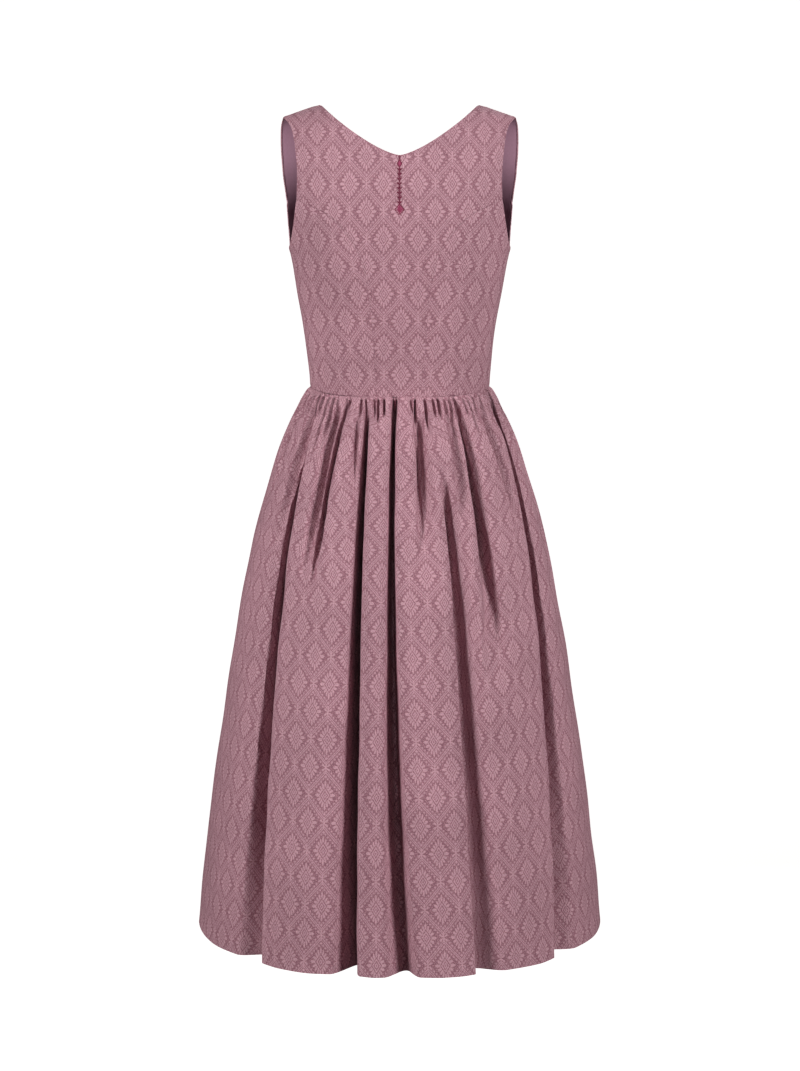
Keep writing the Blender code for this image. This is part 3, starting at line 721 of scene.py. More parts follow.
# The patterns' sizes, in millimetres. What is too fine to show is drawn coarser
CRUMB_ACROSS, CRUMB_ALONG = 1.11, 1.15
SPECK_SPACING = 2.1
DYE_CLOUD = 90.0
SLUB_LENGTH, SLUB_WIDTH = 3.8, 0.67
GRAIN_WIDTH = 1.61
THREAD_SPACING = 0.9
LINING_THREAD_WIDTH, LINING_THREAD_LENGTH = 1.11, 3.8
TWIST_SPACING = 0.75
DRAWN_LINE = 1.11
PAPER_GRAIN = 330.0
WAVE_PERIOD = math.pi / 10.0

# The woven figure. Places and widths are in halves of a lozenge
FIGURE_CRUMB = 0.0012      # metres that the woven edges stray, more than a thread so it shows
BORDER_SLOPE = 0.7125      # the border is flatter than the lozenge, so stems stand between
BORDER_HALF_WIDTH = 0.135
PETAL_PAIRS = 8.0
PETAL_RIM = (0.480, 0.150)             # shortest petal, and how far the longest stands out
DOTS_PLACE, DOTS_HALF_WIDTH = -0.190, 0.042
HEART_REACH = 0.34
HEART_LINES = ((0.285, 0.034, 1.0), (0.145, 0.030, 1.0), (0.0, 0.045, 1.0))
BORDER_LINES = ((-0.095, 0.026, 1.0), (0.0, 0.022, 0.90), (0.095, 0.026, 1.0))
STEM_HALF_WIDTH = 0.040

def add(tree, kind, inputs=(), output=0, **settings):
    """Adds a node with its settings, values and links, and returns one of its outputs."""
    node = tree.nodes.new(kind)
    for name, value in settings.items():
        setattr(node, name, value)
    pairs = inputs.items() if isinstance(inputs, dict) else enumerate(inputs)
    for key, value in pairs:
        if isinstance(value, bpy.types.NodeSocket):
            tree.links.new(value, node.inputs[key])
        elif value is not None:
            node.inputs[key].default_value = value
    return node.outputs[output] if node.outputs else None


def new_material(name):
    material = bpy.data.materials.new(name)
    material.use_nodes = True
    tree = material.node_tree
    tree.nodes.clear()
    return material, tree


def pattern_scale(size, period=1.0):
    """Scale of a texture whose cells, or waves, are this many millimetres wide: two figures."""
    return float(f"{1000.0 * period / size:.2g}")


def step_up(low, high):
    """Settings of a Map Range that rises smoothly between two values."""
    return {1: low, 2: high, 3: 0.0, 4: 1.0}


def near(tree, value, place, half_width, strength=1.0):
    """Adds nodes that give the strength where the value lies near the place, and 0 elsewhere."""
    away = add(tree, MATH, (value, place), operation="SUBTRACT")
    away = add(tree, MATH, (away,), operation="ABSOLUTE")
    return add(tree, RAMP, {0: away, 1: half_width * 1.5, 2: half_width * 0.5, 3: 0.0,
                            4: strength}, interpolation_type="SMOOTHSTEP")


def lozenge_place(tree, cloth):
    """The cloth's uv, and each point's place in its lozenge: across and along, -1 to 1."""
    uv = add(tree, "ShaderNodeUVMap", uv_map="cloth")
    u = add(tree, "ShaderNodeSeparateXYZ", {0: uv}, 0)
    v = add(tree, "ShaderNodeSeparateXYZ", {0: uv}, 1)
    # Woven figures have stepped, crumbly edges: each point is read a little off its place
    crumb = {"Vector": uv, "Scale": pattern_scale(CRUMB_ACROSS), "Detail": 1.0}
    crumb_u = add(tree, "ShaderNodeTexNoise", crumb, "Fac", noise_dimensions="2D")
    crumb_v = add(tree, "ShaderNodeTexNoise", {**crumb, "Scale": pattern_scale(CRUMB_ALONG)},
                  "Fac", noise_dimensions="2D")
    off_u = add(tree, MATH, (crumb_u, 0.5), operation="SUBTRACT")
    off_v = add(tree, MATH, (crumb_v, 0.5), operation="SUBTRACT")
    u = add(tree, MATH, (off_u, FIGURE_CRUMB, u), operation="MULTIPLY_ADD")
    v = add(tree, MATH, (off_v, FIGURE_CRUMB, v), operation="MULTIPLY_ADD")
    p = add(tree, MATH, (u, 1.0 / cloth.repeat_width, cloth.figure_shift), operation="MULTIPLY_ADD")
    q = add(tree, MATH, (v, 1.0 / cloth.repeat_height, cloth.figure_drop), operation="MULTIPLY_ADD")
    rising = add(tree, MATH, (p, q), operation="ADD")
    falling = add(tree, MATH, (p, q), operation="SUBTRACT")
    rising = add(tree, MATH, (rising, 0.5, -0.5), operation="WRAP")
    falling = add(tree, MATH, (falling, 0.5, -0.5), operation="WRAP")
    across = add(tree, MATH, (rising, falling), operation="ADD")
    along = add(tree, MATH, (rising, falling), operation="SUBTRACT")
    return uv, across, along


def petal_ring(tree, across, along, side, tall):
    """A light ring of sixteen petals, parted only near their tips."""
    square = add(tree, MATH, (across, across), operation="MULTIPLY")
    square = add(tree, MATH, (along, along, square), operation="MULTIPLY_ADD")
    radius = add(tree, MATH, (square,), operation="SQRT")
    turn = add(tree, MATH, (along, across), operation="ARCTAN2")
    lobe = add(tree, MATH, (turn, PETAL_PAIRS), operation="MULTIPLY")
    lobe = add(tree, MATH, (lobe,), operation="COSINE")
    lobe = add(tree, MATH, (lobe,), operation="ABSOLUTE")
    spread = add(tree, MATH, (tall, 1.12, side), operation="MULTIPLY_ADD")
    round_part = add(tree, MATH, (radius, 0.34), operation="MULTIPLY")
    spread = add(tree, MATH, (spread, 0.72, round_part), operation="MULTIPLY_ADD")
    rim = add(tree, MATH, (lobe, PETAL_RIM[1], PETAL_RIM[0]), operation="MULTIPLY_ADD")
    petal = add(tree, MATH, (spread, rim), operation="SUBTRACT")
    petal = add(tree, RAMP, {0: petal, **step_up(0.022, -0.022)}, interpolation_type="SMOOTHSTEP")
    parting = add(tree, RAMP, {0: lobe, 1: 0.70, 2: 0.25, 3: 0.0, 4: 0.92},
                  interpolation_type="SMOOTHSTEP")
    tip = add(tree, RAMP, {0: spread, **step_up(0.33, 0.43)}, interpolation_type="SMOOTHSTEP")
    parting = add(tree, MATH, (parting, tip), operation="MULTIPLY")
    return add(tree, MATH, (petal, parting), operation="SUBTRACT", use_clamp=True)


def jacquard_figure(tree, cloth):
    """How far the light figure shows at each point: lozenges in a half-drop lattice.

    Each holds a ring of petals round two small lozenges with a dark heart. A row of dots
    runs inside the border, which is a light band with three dark lines. Where four
    lozenges meet, a light stem stands between rays.
    """
    uv, across, along = lozenge_place(tree, cloth)
    side = add(tree, MATH, (across,), operation="ABSOLUTE")
    tall = add(tree, MATH, (along,), operation="ABSOLUTE")
    reach = add(tree, MATH, (side, tall), operation="ADD")
    border = add(tree, MATH, (side, BORDER_SLOPE, tall), operation="MULTIPLY_ADD")
    border = add(tree, MATH, (border, 0.5 + 0.5 * BORDER_SLOPE), operation="SUBTRACT")
    edge_run = add(tree, MATH, (side, tall), operation="SUBTRACT")
    dots = add(tree, MATH, (edge_run, 8.5 * math.pi), operation="MULTIPLY")
    dots = add(tree, MATH, (dots,), operation="COSINE")
    dots = add(tree, RAMP, {0: dots, **step_up(-0.35, 0.35)}, interpolation_type="SMOOTHSTEP")
    row = near(tree, border, DOTS_PLACE, DOTS_HALF_WIDTH)
    dots = add(tree, MATH, (dots, row), operation="MULTIPLY")
    heart = add(tree, RAMP, {0: reach, **step_up(HEART_REACH, HEART_REACH - 0.02)},
                interpolation_type="SMOOTHSTEP")
    wedge = add(tree, MATH, (side, -0.65, tall), operation="MULTIPLY_ADD")
    wedge = add(tree, RAMP, {0: wedge, **step_up(0.58, 0.64)}, interpolation_type="SMOOTHSTEP")

    light = petal_ring(tree, across, along, side, tall)
    for part in (dots, heart, wedge, near(tree, border, 0.0, BORDER_HALF_WIDTH)):
        light = add(tree, MATH, (light, part), operation="MAXIMUM")
    for value, lines in ((reach, HEART_LINES), (border, BORDER_LINES)):
        for line in lines:
            bare = add(tree, MATH, (1.0, near(tree, value, *line)), operation="SUBTRACT")
            light = add(tree, MATH, (light, bare), operation="MULTIPLY")
    light = add_stars(tree, light, side, tall)

    # Light specks fill the dark ground, as floating threads do: one in every 2 mm, coarser
    # than the real ones so that they show
    specks = add(tree, "ShaderNodeTexVoronoi",
                 {"Vector": uv, "Scale": pattern_scale(SPECK_SPACING)}, "Distance",
                 voronoi_dimensions="2D")
    specks = add(tree, RAMP, {0: specks, 1: 0.38, 2: 0.14, 3: 0.0, 4: 0.75},
                 interpolation_type="SMOOTHSTEP")
    return add(tree, MATH, (light, specks), operation="MAXIMUM")


def add_stars(tree, light, side, tall):
    """Rays at the lozenge's sides, where four of them meet, and the stems above and below."""
    from_corner = add(tree, MATH, (1.0, side), operation="SUBTRACT")
    corner_turn = add(tree, MATH, (tall, from_corner), operation="ARCTAN2")
    rays = add(tree, MATH, (corner_turn, 6.4), operation="MULTIPLY")
    rays = add(tree, MATH, (rays,), operation="COSINE")
    rays = add(tree, RAMP, {0: rays, **step_up(0.35, -0.35)}, interpolation_type="SMOOTHSTEP")
    corner = add(tree, MATH, (tall, 0.8, from_corner), operation="MULTIPLY_ADD")
    corner = add(tree, RAMP, {0: corner, **step_up(0.32, 0.22)}, interpolation_type="SMOOTHSTEP")
    light = add(tree, "ShaderNodeMix", {0: corner, 2: light, 3: rays}, 0)
    for away, ends in ((side, (0.78, 0.82)), (from_corner, (0.22, 0.18))):
        stem = near(tree, away, 0.0, STEM_HALF_WIDTH)
        ends = add(tree, RAMP, {0: tall, **step_up(*ends)})
        stem = add(tree, MATH, (stem, ends), operation="MULTIPLY")
        light = add(tree, MATH, (light, stem), operation="MAXIMUM")
    return light


def jacquard(name, cloth, figure, ground):
    """Cotton-blend jacquard, woven tone on tone.

    The figure floats on the surface as a smooth satin weave and the ground is a duller
    plain weave, so the figure is lighter, catches a soft sheen and stands slightly proud.
    """
    material, tree = new_material(name)
    shows = jacquard_figure(tree, cloth)
    uv = add(tree, "ShaderNodeUVMap", uv_map="cloth")
    place = add(tree, "ShaderNodeTexCoord", (), "Object")
    colour = add(tree, "ShaderNodeMix", {0: shows, 6: (*ground, 1), 7: (*figure, 1)}, 2,
                 data_type="RGBA")
    # Dye and wear vary slightly over a hand's breadth, over some threads (a slub is 4 mm long
    # and 0.7 mm wide), and in a grain of 1.6 mm, coarser than the real one so that it shows
    cloudy = add(tree, "ShaderNodeTexNoise",
                 {"Vector": place, "Scale": pattern_scale(DYE_CLOUD), "Detail": 3.0}, "Fac")
    cloudy = add(tree, RAMP, {0: cloudy, 1: 0.3, 2: 0.7, 3: 0.93, 4: 1.07})
    slub = (pattern_scale(SLUB_LENGTH), pattern_scale(SLUB_WIDTH), 1.0)
    slub = add(tree, "ShaderNodeMapping", {0: uv, 3: slub})
    slub = add(tree, "ShaderNodeTexNoise", {"Vector": slub, "Scale": 1.0, "Detail": 2.0}, "Fac",
               noise_dimensions="2D")
    slub_tone = add(tree, RAMP, {0: slub, 1: 0.25, 2: 0.75, 3: 0.88, 4: 1.12})
    tone = add(tree, MATH, (cloudy, slub_tone), operation="MULTIPLY")
    grain = add(tree, "ShaderNodeTexNoise",
                {"Vector": uv, "Scale": pattern_scale(GRAIN_WIDTH), "Detail": 1.0}, "Fac",
                noise_dimensions="2D")
    grain = add(tree, RAMP, {0: grain, 1: 0.3, 2: 0.7, 3: 0.86, 4: 1.14})
    tone = add(tree, MATH, (tone, grain), operation="MULTIPLY")
    colour = add(tree, "ShaderNodeVectorMath", {0: colour, 3: tone}, operation="SCALE")
    roughness = add(tree, RAMP, {0: shows, 1: 0.0, 2: 1.0, 3: 0.82, 4: 0.62})
    # Threads lie 0.35 mm apart, too fine to show, so they are drawn at 0.9 mm
    weave = {"Vector": uv, "Scale": pattern_scale(THREAD_SPACING, WAVE_PERIOD),
             "Distortion": 0.4}
    warp, weft = (add(tree, "ShaderNodeTexWave", weave, "Fac", bands_direction=way)
                  for way in ("X", "Y"))
    weave = add(tree, MATH, (warp, weft), operation="MULTIPLY")
    raised = add(tree, MATH, (weave, 0.25, shows), operation="MULTIPLY_ADD")
    raised = add(tree, MATH, (slub, 0.35, raised), operation="MULTIPLY_ADD")
    bump = add(tree, "ShaderNodeBump", {"Strength": 0.55, "Distance": 0.0005, "Height": raised})
    shader = add(tree, "ShaderNodeBsdfPrincipled", {
        "Base Color": colour, "Roughness": roughness, "Normal": bump,
        "Specular IOR Level": 0.2, "Sheen Weight": 0.08, "Sheen Roughness": 0.45,
        "Sheen Tint": (1.0, 0.86, 0.90, 1.0)})
    add(tree, "ShaderNodeOutputMaterial", {0: shader})
    return material


def lining_cloth(name, settings):
    """Plain woven viscose lining: smooth and thin, with a low silky sheen.

    Its threads are drawn 1.1 mm wide, because real ones are too fine to show.
    """
    material, tree = new_material(name)
    uv = add(tree, "ShaderNodeUVMap", uv_map="cloth")
    threads = (pattern_scale(LINING_THREAD_WIDTH), pattern_scale(LINING_THREAD_LENGTH), 1.0)
    threads = add(tree, "ShaderNodeMapping", {0: uv, 3: threads})
    threads = add(tree, "ShaderNodeTexNoise", {"Vector": threads, "Scale": 1.0, "Detail": 2.0},
                  "Fac", noise_dimensions="2D")
    tone = add(tree, RAMP, {0: threads, 1: 0.3, 2: 0.7, 3: 0.94, 4: 1.06})
    colour = add(tree, "ShaderNodeVectorMath", {0: settings.lining_colour, 3: tone},
                 operation="SCALE")
    bump = add(tree, "ShaderNodeBump", {"Strength": 0.25, "Distance": 0.0003, "Height": threads})
    shader = add(tree, "ShaderNodeBsdfPrincipled", {
        "Base Color": colour, "Roughness": 0.5, "Normal": bump, "Specular IOR Level": 0.35,
        "Sheen Weight": 0.15, "Sheen Roughness": 0.35})
    add(tree, "ShaderNodeOutputMaterial", {0: shader})
    return material


def thread_finish(name, colour, roughness):
    """Mercerised cotton thread: twisted and glossy. Its colour is painted lighter and darker along
    its turns, as painted highlights and painted shade of the twist.

    The turns lie 0.75 mm apart.
    """
    material, tree = new_material(name)
    place = add(tree, "ShaderNodeTexCoord", (), "Object")
    twist = {"Vector": place, "Scale": pattern_scale(TWIST_SPACING, WAVE_PERIOD),
             "Distortion": 1.5}
    twist = add(tree, "ShaderNodeTexWave", twist, "Fac", bands_direction="DIAGONAL")
    # Painted highlight and painted shade: the thread's colour is made lighter and darker along the
    # twist's turns
    tone = add(tree, RAMP, {0: twist, 1: 0.0, 2: 1.0, 3: 0.78, 4: 1.15})
    shade = add(tree, "ShaderNodeVectorMath", {0: colour, 3: tone}, operation="SCALE")
    bump = add(tree, "ShaderNodeBump", {"Strength": 0.4, "Distance": 0.0003, "Height": twist})
    shader = add(tree, "ShaderNodeBsdfPrincipled", {
        "Base Color": shade, "Roughness": roughness, "Normal": bump,
        "Sheen Weight": 0.1, "Sheen Roughness": 0.3})
    add(tree, "ShaderNodeOutputMaterial", {0: shader})
    return material


def nickel_wire(name):
    """Nickel-plated spring wire: bright, slightly yellow, uneven in polish from its drawing."""
    material, tree = new_material(name)
    place = add(tree, "ShaderNodeTexCoord", (), "Object")
    drawn = {"Vector": place, "Scale": pattern_scale(DRAWN_LINE), "Detail": 2.0}
    drawn = add(tree, "ShaderNodeTexNoise", drawn, "Fac")
    roughness = add(tree, RAMP, {0: drawn, 1: 0.3, 2: 0.7, 3: 0.22, 4: 0.38})
    shader = add(tree, "ShaderNodeBsdfPrincipled", {
        "Base Color": (*srgb("#C9C5BB"), 1), "Metallic": 1.0, "Roughness": roughness})
    add(tree, "ShaderNodeOutputMaterial", {0: shader})
    return material


def studio_paper(name, colour):
    """Matt background paper: almost white, without gloss."""
    material, tree = new_material(name)
    place = add(tree, "ShaderNodeTexCoord", (), "Object")
    grain = {"Vector": place, "Scale": pattern_scale(PAPER_GRAIN)}
    grain = add(tree, "ShaderNodeTexNoise", grain, "Fac")
    tone = add(tree, RAMP, {0: grain, 1: 0.3, 2: 0.7, 3: 0.99, 4: 1.01})
    shade = add(tree, "ShaderNodeVectorMath", {0: colour, 3: tone}, operation="SCALE")
    shader = add(tree, "ShaderNodeBsdfPrincipled", {
        "Base Color": shade, "Roughness": 0.9, "Specular IOR Level": 0.1,
        "Emission Color": (*colour, 1), "Emission Strength": 0.92})
    add(tree, "ShaderNodeOutputMaterial", {0: shader})
    return material


# --------------------------------------------------------------- stitches and wire


def thread_tree(name, material):
    """Geometry nodes that turn a mesh of loose edges into thread or wire."""
    tree = bpy.data.node_groups.new(name, "GeometryNodeTree")
    sockets = {}
    tree.interface.new_socket("Geometry", in_out="INPUT", socket_type="NodeSocketGeometry")
    for label, kind, value in (("Thickness", "NodeSocketFloat", 0.0006),
                               ("Sides", "NodeSocketInt", 6)):
        socket = tree.interface.new_socket(label, in_out="INPUT", socket_type=kind)
        socket.default_value = value
        sockets[label] = socket.identifier
    tree.interface.new_socket("Geometry", in_out="OUTPUT", socket_type="NodeSocketGeometry")
    entry = tree.nodes.new("NodeGroupInput")
    half = add(tree, MATH, (entry.outputs["Thickness"], 0.5), operation="MULTIPLY")
    profile = add(tree, "GeometryNodeCurvePrimitiveCircle",
                  {"Resolution": entry.outputs["Sides"], "Radius": half})
    path = add(tree, "GeometryNodeMeshToCurve", {0: entry.outputs["Geometry"]})
    tube = add(tree, "GeometryNodeCurveToMesh",
               {"Curve": path, "Profile Curve": profile, "Fill Caps": True})
    tube = add(tree, "GeometryNodeSetShadeSmooth", {0: tube})
    tube = add(tree, "GeometryNodeRealizeInstances", {0: tube})
    tube = add(tree, "GeometryNodeSetMaterial", {0: tube, "Material": material})
    add(tree, "NodeGroupOutput", {0: tube})
    return tree, sockets


def threads(name, strands, thickness, sides, material):
    """A plain mesh of thread along strands, each of them a list of points."""
    vertices, edges = [], []
    for strand in strands:
        first = len(vertices)
        vertices += [tuple(point) for point in strand]
        edges += [(first + step, first + step + 1) for step in range(len(strand) - 1)]
    source = bpy.data.meshes.new(name + "_path")
    source.from_pydata(vertices, edges, [])
    worker = placed(name + "_path", source)
    tree, sockets = thread_tree(name + "_nodes", material)
    modifier = worker.modifiers.new("thread", "NODES")
    modifier.node_group = tree
    modifier[sockets["Thickness"]] = thickness
    modifier[sockets["Sides"]] = sides
    evaluated = worker.evaluated_get(bpy.context.evaluated_depsgraph_get())
    mesh = bpy.data.meshes.new_from_object(evaluated)
    mesh.name = name
    bpy.data.objects.remove(worker)
    if not mesh.materials:
        mesh.materials.append(material)
    return placed(name, mesh)


def on_bodice(x, height, side, lift):
    """A point over (or, with a negative lift, under) the bodice's outside."""
    angle = turned(angle_at(np.abs(x), height), side, -1 if x < 0 else 1)
    point, normal = surface(np.array(angle), np.array(height), side)
    return point + normal * lift


def stitch(start, end, side, rise=0.0004):
    """A short stitch that arches slightly over the cloth, from (x, height) to (x, height)."""
    shares = np.linspace(0.0, 1.0, 5)
    return [on_bodice(mix(start[0], end[0], share), mix(start[1], end[1], share), side,
                      rise * math.sin(math.pi * share) - 0.0001) for share in shares]


# ---------------------------------------------------------------------- panel settings


class DirndlCloth(bpy.types.PropertyGroup):
    """The jacquard and its lining."""

    figure_colour: bpy.props.FloatVectorProperty(
        name="Figure", description="Colour of the woven figure", subtype="COLOR", size=3,
        default=srgb("#C0959F"))
    ground_colour: bpy.props.FloatVectorProperty(
        name="Ground", description="Colour of the ground between the figures",
        subtype="COLOR", size=3, default=srgb("#91636F"))
    lining_colour: bpy.props.FloatVectorProperty(
        name="Lining", description="Colour of the lining", subtype="COLOR", size=3,
        default=srgb("#A27A8C"))
    repeat_width: bpy.props.FloatProperty(
        name="Repeat width", description="Width of one lozenge of the pattern",
        default=0.0466, unit="LENGTH")
    repeat_height: bpy.props.FloatProperty(
        name="Repeat height", description="Height of one lozenge of the pattern",
        default=0.0738, unit="LENGTH")
    figure_shift: bpy.props.FloatProperty(
        name="Figure shift", description="Moves the pattern sideways, in repeats", default=-0.043)
    figure_drop: bpy.props.FloatProperty(
        name="Figure drop", description="Moves the pattern down, in repeats", default=0.861)


class DirndlSkirt(bpy.types.PropertyGroup):
    """The fall of the skirt."""

    gather_depth: bpy.props.FloatProperty(
        name="Gather depth", description="How deep the fine gathers are, as a share",
        default=1.0)
    crest_lean: bpy.props.FloatProperty(
        name="Crest lean", description="How far crests lean over the folds, as a share",
        default=1.0)
    hem_turning: bpy.props.FloatProperty(
        name="Hem turning", description="Height of the hem turned up inside",
        default=0.035, unit="LENGTH")


class DirndlTrim(bpy.types.PropertyGroup):
    """Embroidery, stitches and fastenings."""

    embroidery_colour: bpy.props.FloatVectorProperty(
        name="Embroidery", description="Colour of the embroidery cotton", subtype="COLOR",
        size=3, default=srgb("#7C2242"))
    second_colour: bpy.props.FloatVectorProperty(
        name="Second embroidery", description="Colour of the lighter embroidery cotton",
        subtype="COLOR", size=3, default=srgb("#A84A6C"))
    thread_thickness: bpy.props.FloatProperty(
        name="Thread", description="Thickness of the embroidery cotton", default=0.0010,
        unit="LENGTH")
    wire_thickness: bpy.props.FloatProperty(
        name="Wire", description="Thickness of the hooks and eyes", default=0.0008,
        unit="LENGTH")


# -------------------------------------------------------------------------- operators


def sewn(piece, *nodes, slot=None):
    """Finishes a piece: it stands for its nodes and moves with the dress."""
    if nodes:
        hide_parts(*nodes)
    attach(piece, "root")


def bodice_panels():
    """Every bodice panel: name, points, normals, thread column and its free edges."""
    above = np.arange(SEAM_STEPS + STRAP_STEPS + 1) > SEAM_STEPS
    always = np.ones(len(above), bool)
    back = centre_panel(BACK, (LEFT, RIGHT))
    middle = back[0].shape[1] // 2
    neckline = np.arange(NECK_COLUMNS + STRAP_COLUMNS + 1) <= NECK_COLUMNS
    both = np.concatenate((neckline[::-1], neckline[1:]))
    panels = [("back_centre", *back, middle, {"left": above, "right": above, "top": both})]
    for hand, hand_name in ((LEFT, "left"), (RIGHT, "right")):
        points, normals = centre_panel(FRONT, (hand,))
        inner, outer = ("right", "left") if hand == LEFT else ("left", "right")
        column = points.shape[1] - 1 if hand == LEFT else 0
        panels.append((f"front_centre_{hand_name}", points, normals, column,
                       {inner: always, outer: above,
                        "top": neckline[::-1] if hand == LEFT else neckline}))
    for side, side_name in ((BACK, "back"), (FRONT, "front")):
        for hand, hand_name in ((LEFT, "left"), (RIGHT, "right")):
            points, normals = side_panel(side, hand)
            panels.append((f"{side_name}_side_{hand_name}", points, normals,
                           SIDE_COLUMNS // 2, {"top": np.ones(1, bool)}))
    return panels


class DIRNDL_OT_bodice(bpy.types.Operator):
    """Sew the seven panels of the bodice"""
    bl_idname = "dirndl.bodice"
    bl_label = "Bodice"

    def execute(self, context):
        cloth = context.scene.dirndl_cloth
        face = jacquard("jacquard_face", cloth, cloth.figure_colour, cloth.ground_colour)
        back = jacquard("jacquard_reverse", cloth, cloth.ground_colour, cloth.figure_colour)
        for name, points, normals, column, edges in bodice_panels():
            uv = panel_uv(points, column)
            points = points + normals * soft_waves(points, BODICE_WAVES)[..., None]
            points = pressed(points, normals, edges)
            normals = fitted_normals(points, normals)
            piece = cloth_shell("cloth_" + name, points, normals, uv, 0.0, CLOTH_WALL,
                                (face, back))
            sewn(piece, name, slot="jacquard")
        return {"FINISHED"}


def fitted_normals(points, normals):
    """Normals of the moved points, on the same side as before."""
    moved = unit(np.cross(np.gradient(points, axis=1), np.gradient(points, axis=0)))
    return moved * np.sign(np.sum(moved * normals, axis=-1, keepdims=True))


class DIRNDL_OT_lining(bpy.types.Operator):
    """Line the bodice"""
    bl_idname = "dirndl.lining"
    bl_label = "Lining"

    def execute(self, context):
        material = lining_cloth("viscose_lining", context.scene.dirndl_cloth)
        for name, points, normals, column, edges in bodice_panels():
            uv = panel_uv(points, column)
            points = self.set_back(points, edges)
            points = points + normals * soft_waves(points, BODICE_WAVES)[..., None]
            piece = cloth_shell("lining_" + name + "_cloth", points, normals, uv, UNDER_CLOTH,
                                LINING_WALL, (material,))
            sewn(piece, "lining_" + name, slot="lining")
        return {"FINISHED"}

    def set_back(self, points, edges):
        """Draws the free edges back, and the rows behind them by less and less."""
        upward = running_length(points, 0)
        points = self.drawn(points, upward[-1:] - upward, axis=0, towards=-1)
        across = running_length(points, 1)
        for edge, distance, towards in (("left", across, 1),
                                        ("right", across[:, -1:] - across, -1)):
            if edge in edges:
                moved = self.drawn(points, distance, axis=1, towards=towards)
                points = np.where(np.reshape(edges[edge], (-1, 1, 1)), moved, points)
        return points

    def drawn(self, points, distance, axis, towards):
        """Moves points along the grid, away from the edge they are this far from."""
        step = np.gradient(points, axis=axis) * towards
        pull = LINING_SETBACK * np.exp(-(distance / LINING_DRAW) ** 2)
        return points + unit(step) * pull[..., None]


class DIRNDL_OT_skirt(bpy.types.Operator):
    """Gather the skirt and hang its three panels"""
    bl_idname = "dirndl.skirt"
    bl_label = "Skirt"

    def execute(self, context):
        face = bpy.data.materials.get("jacquard_face")
        back = bpy.data.materials.get("jacquard_reverse")
        if face is None:
            raise RuntimeError("sew the bodice first: the skirt is cut from its cloth")
        settings = context.scene.dirndl_skirt
        points, (across, marks, cut) = skirt_sheet(settings)
        normals = grid_normals(points, closed=True)
        down = running_length(points[:, marks[:1]], 0)
        drop = skirt_drops()
        turning = ease((drop - SKIRT_LENGTH + settings.hem_turning) / HEM_STEP)
        wall = np.broadcast_to(CLOTH_WALL * (1.0 + turning), points.shape[:2])
        quarter = SKIRT_COLUMNS // 4
        panels = {"skirt_back": (-quarter, quarter), "skirt_front_right": (quarter, 2 * quarter),
                  "skirt_front_left": (2 * quarter, 3 * quarter)}
        for name, (first, last) in panels.items():
            columns = np.arange(first, last + 1)
            turns = np.floor_divide(columns, SKIRT_COLUMNS)
            columns = columns % SKIRT_COLUMNS
            u = across[:, columns] + turns * cut
            u = np.unwrap(u, period=cut, axis=1)
            v = np.broadcast_to(-down - PATTERN_WAIST, u.shape)
            uv = np.stack((u, v), -1)
            piece = cloth_shell("cloth_" + name, points[:, columns], normals[:, columns], uv, 0.0,
                                wall[:, columns], (face, back))
            sewn(piece, name, slot="jacquard")
        return {"FINISHED"}


# The embroidered bar's parts. Lozenges: height of the middle, half width, half height.
# Rows of stitches: height of their top and bottom
SMALL_OUTLINE, LARGE_OUTLINE = (-0.0731, 0.0033, 0.0055), (-0.1345, 0.0068, 0.0078)
LARGE_MIDDLE = (-0.1350, 0.0042, 0.0056)
GROUNDS = ((-0.0731, 0.0024, 0.0040), (-0.1345, 0.0062, 0.0070))
STEMS = ((-0.0622, -0.0672), (-0.0790, -0.1270))
BARB_ROW = (-0.0810, -0.1250)
DOT_ENDS = ((0.0030, -0.0624), (0.0044, -0.0617))
SATIN_SPACING = 0.00032
CHAIN_LINK = 0.0042
BARB_SPACING = 0.0062


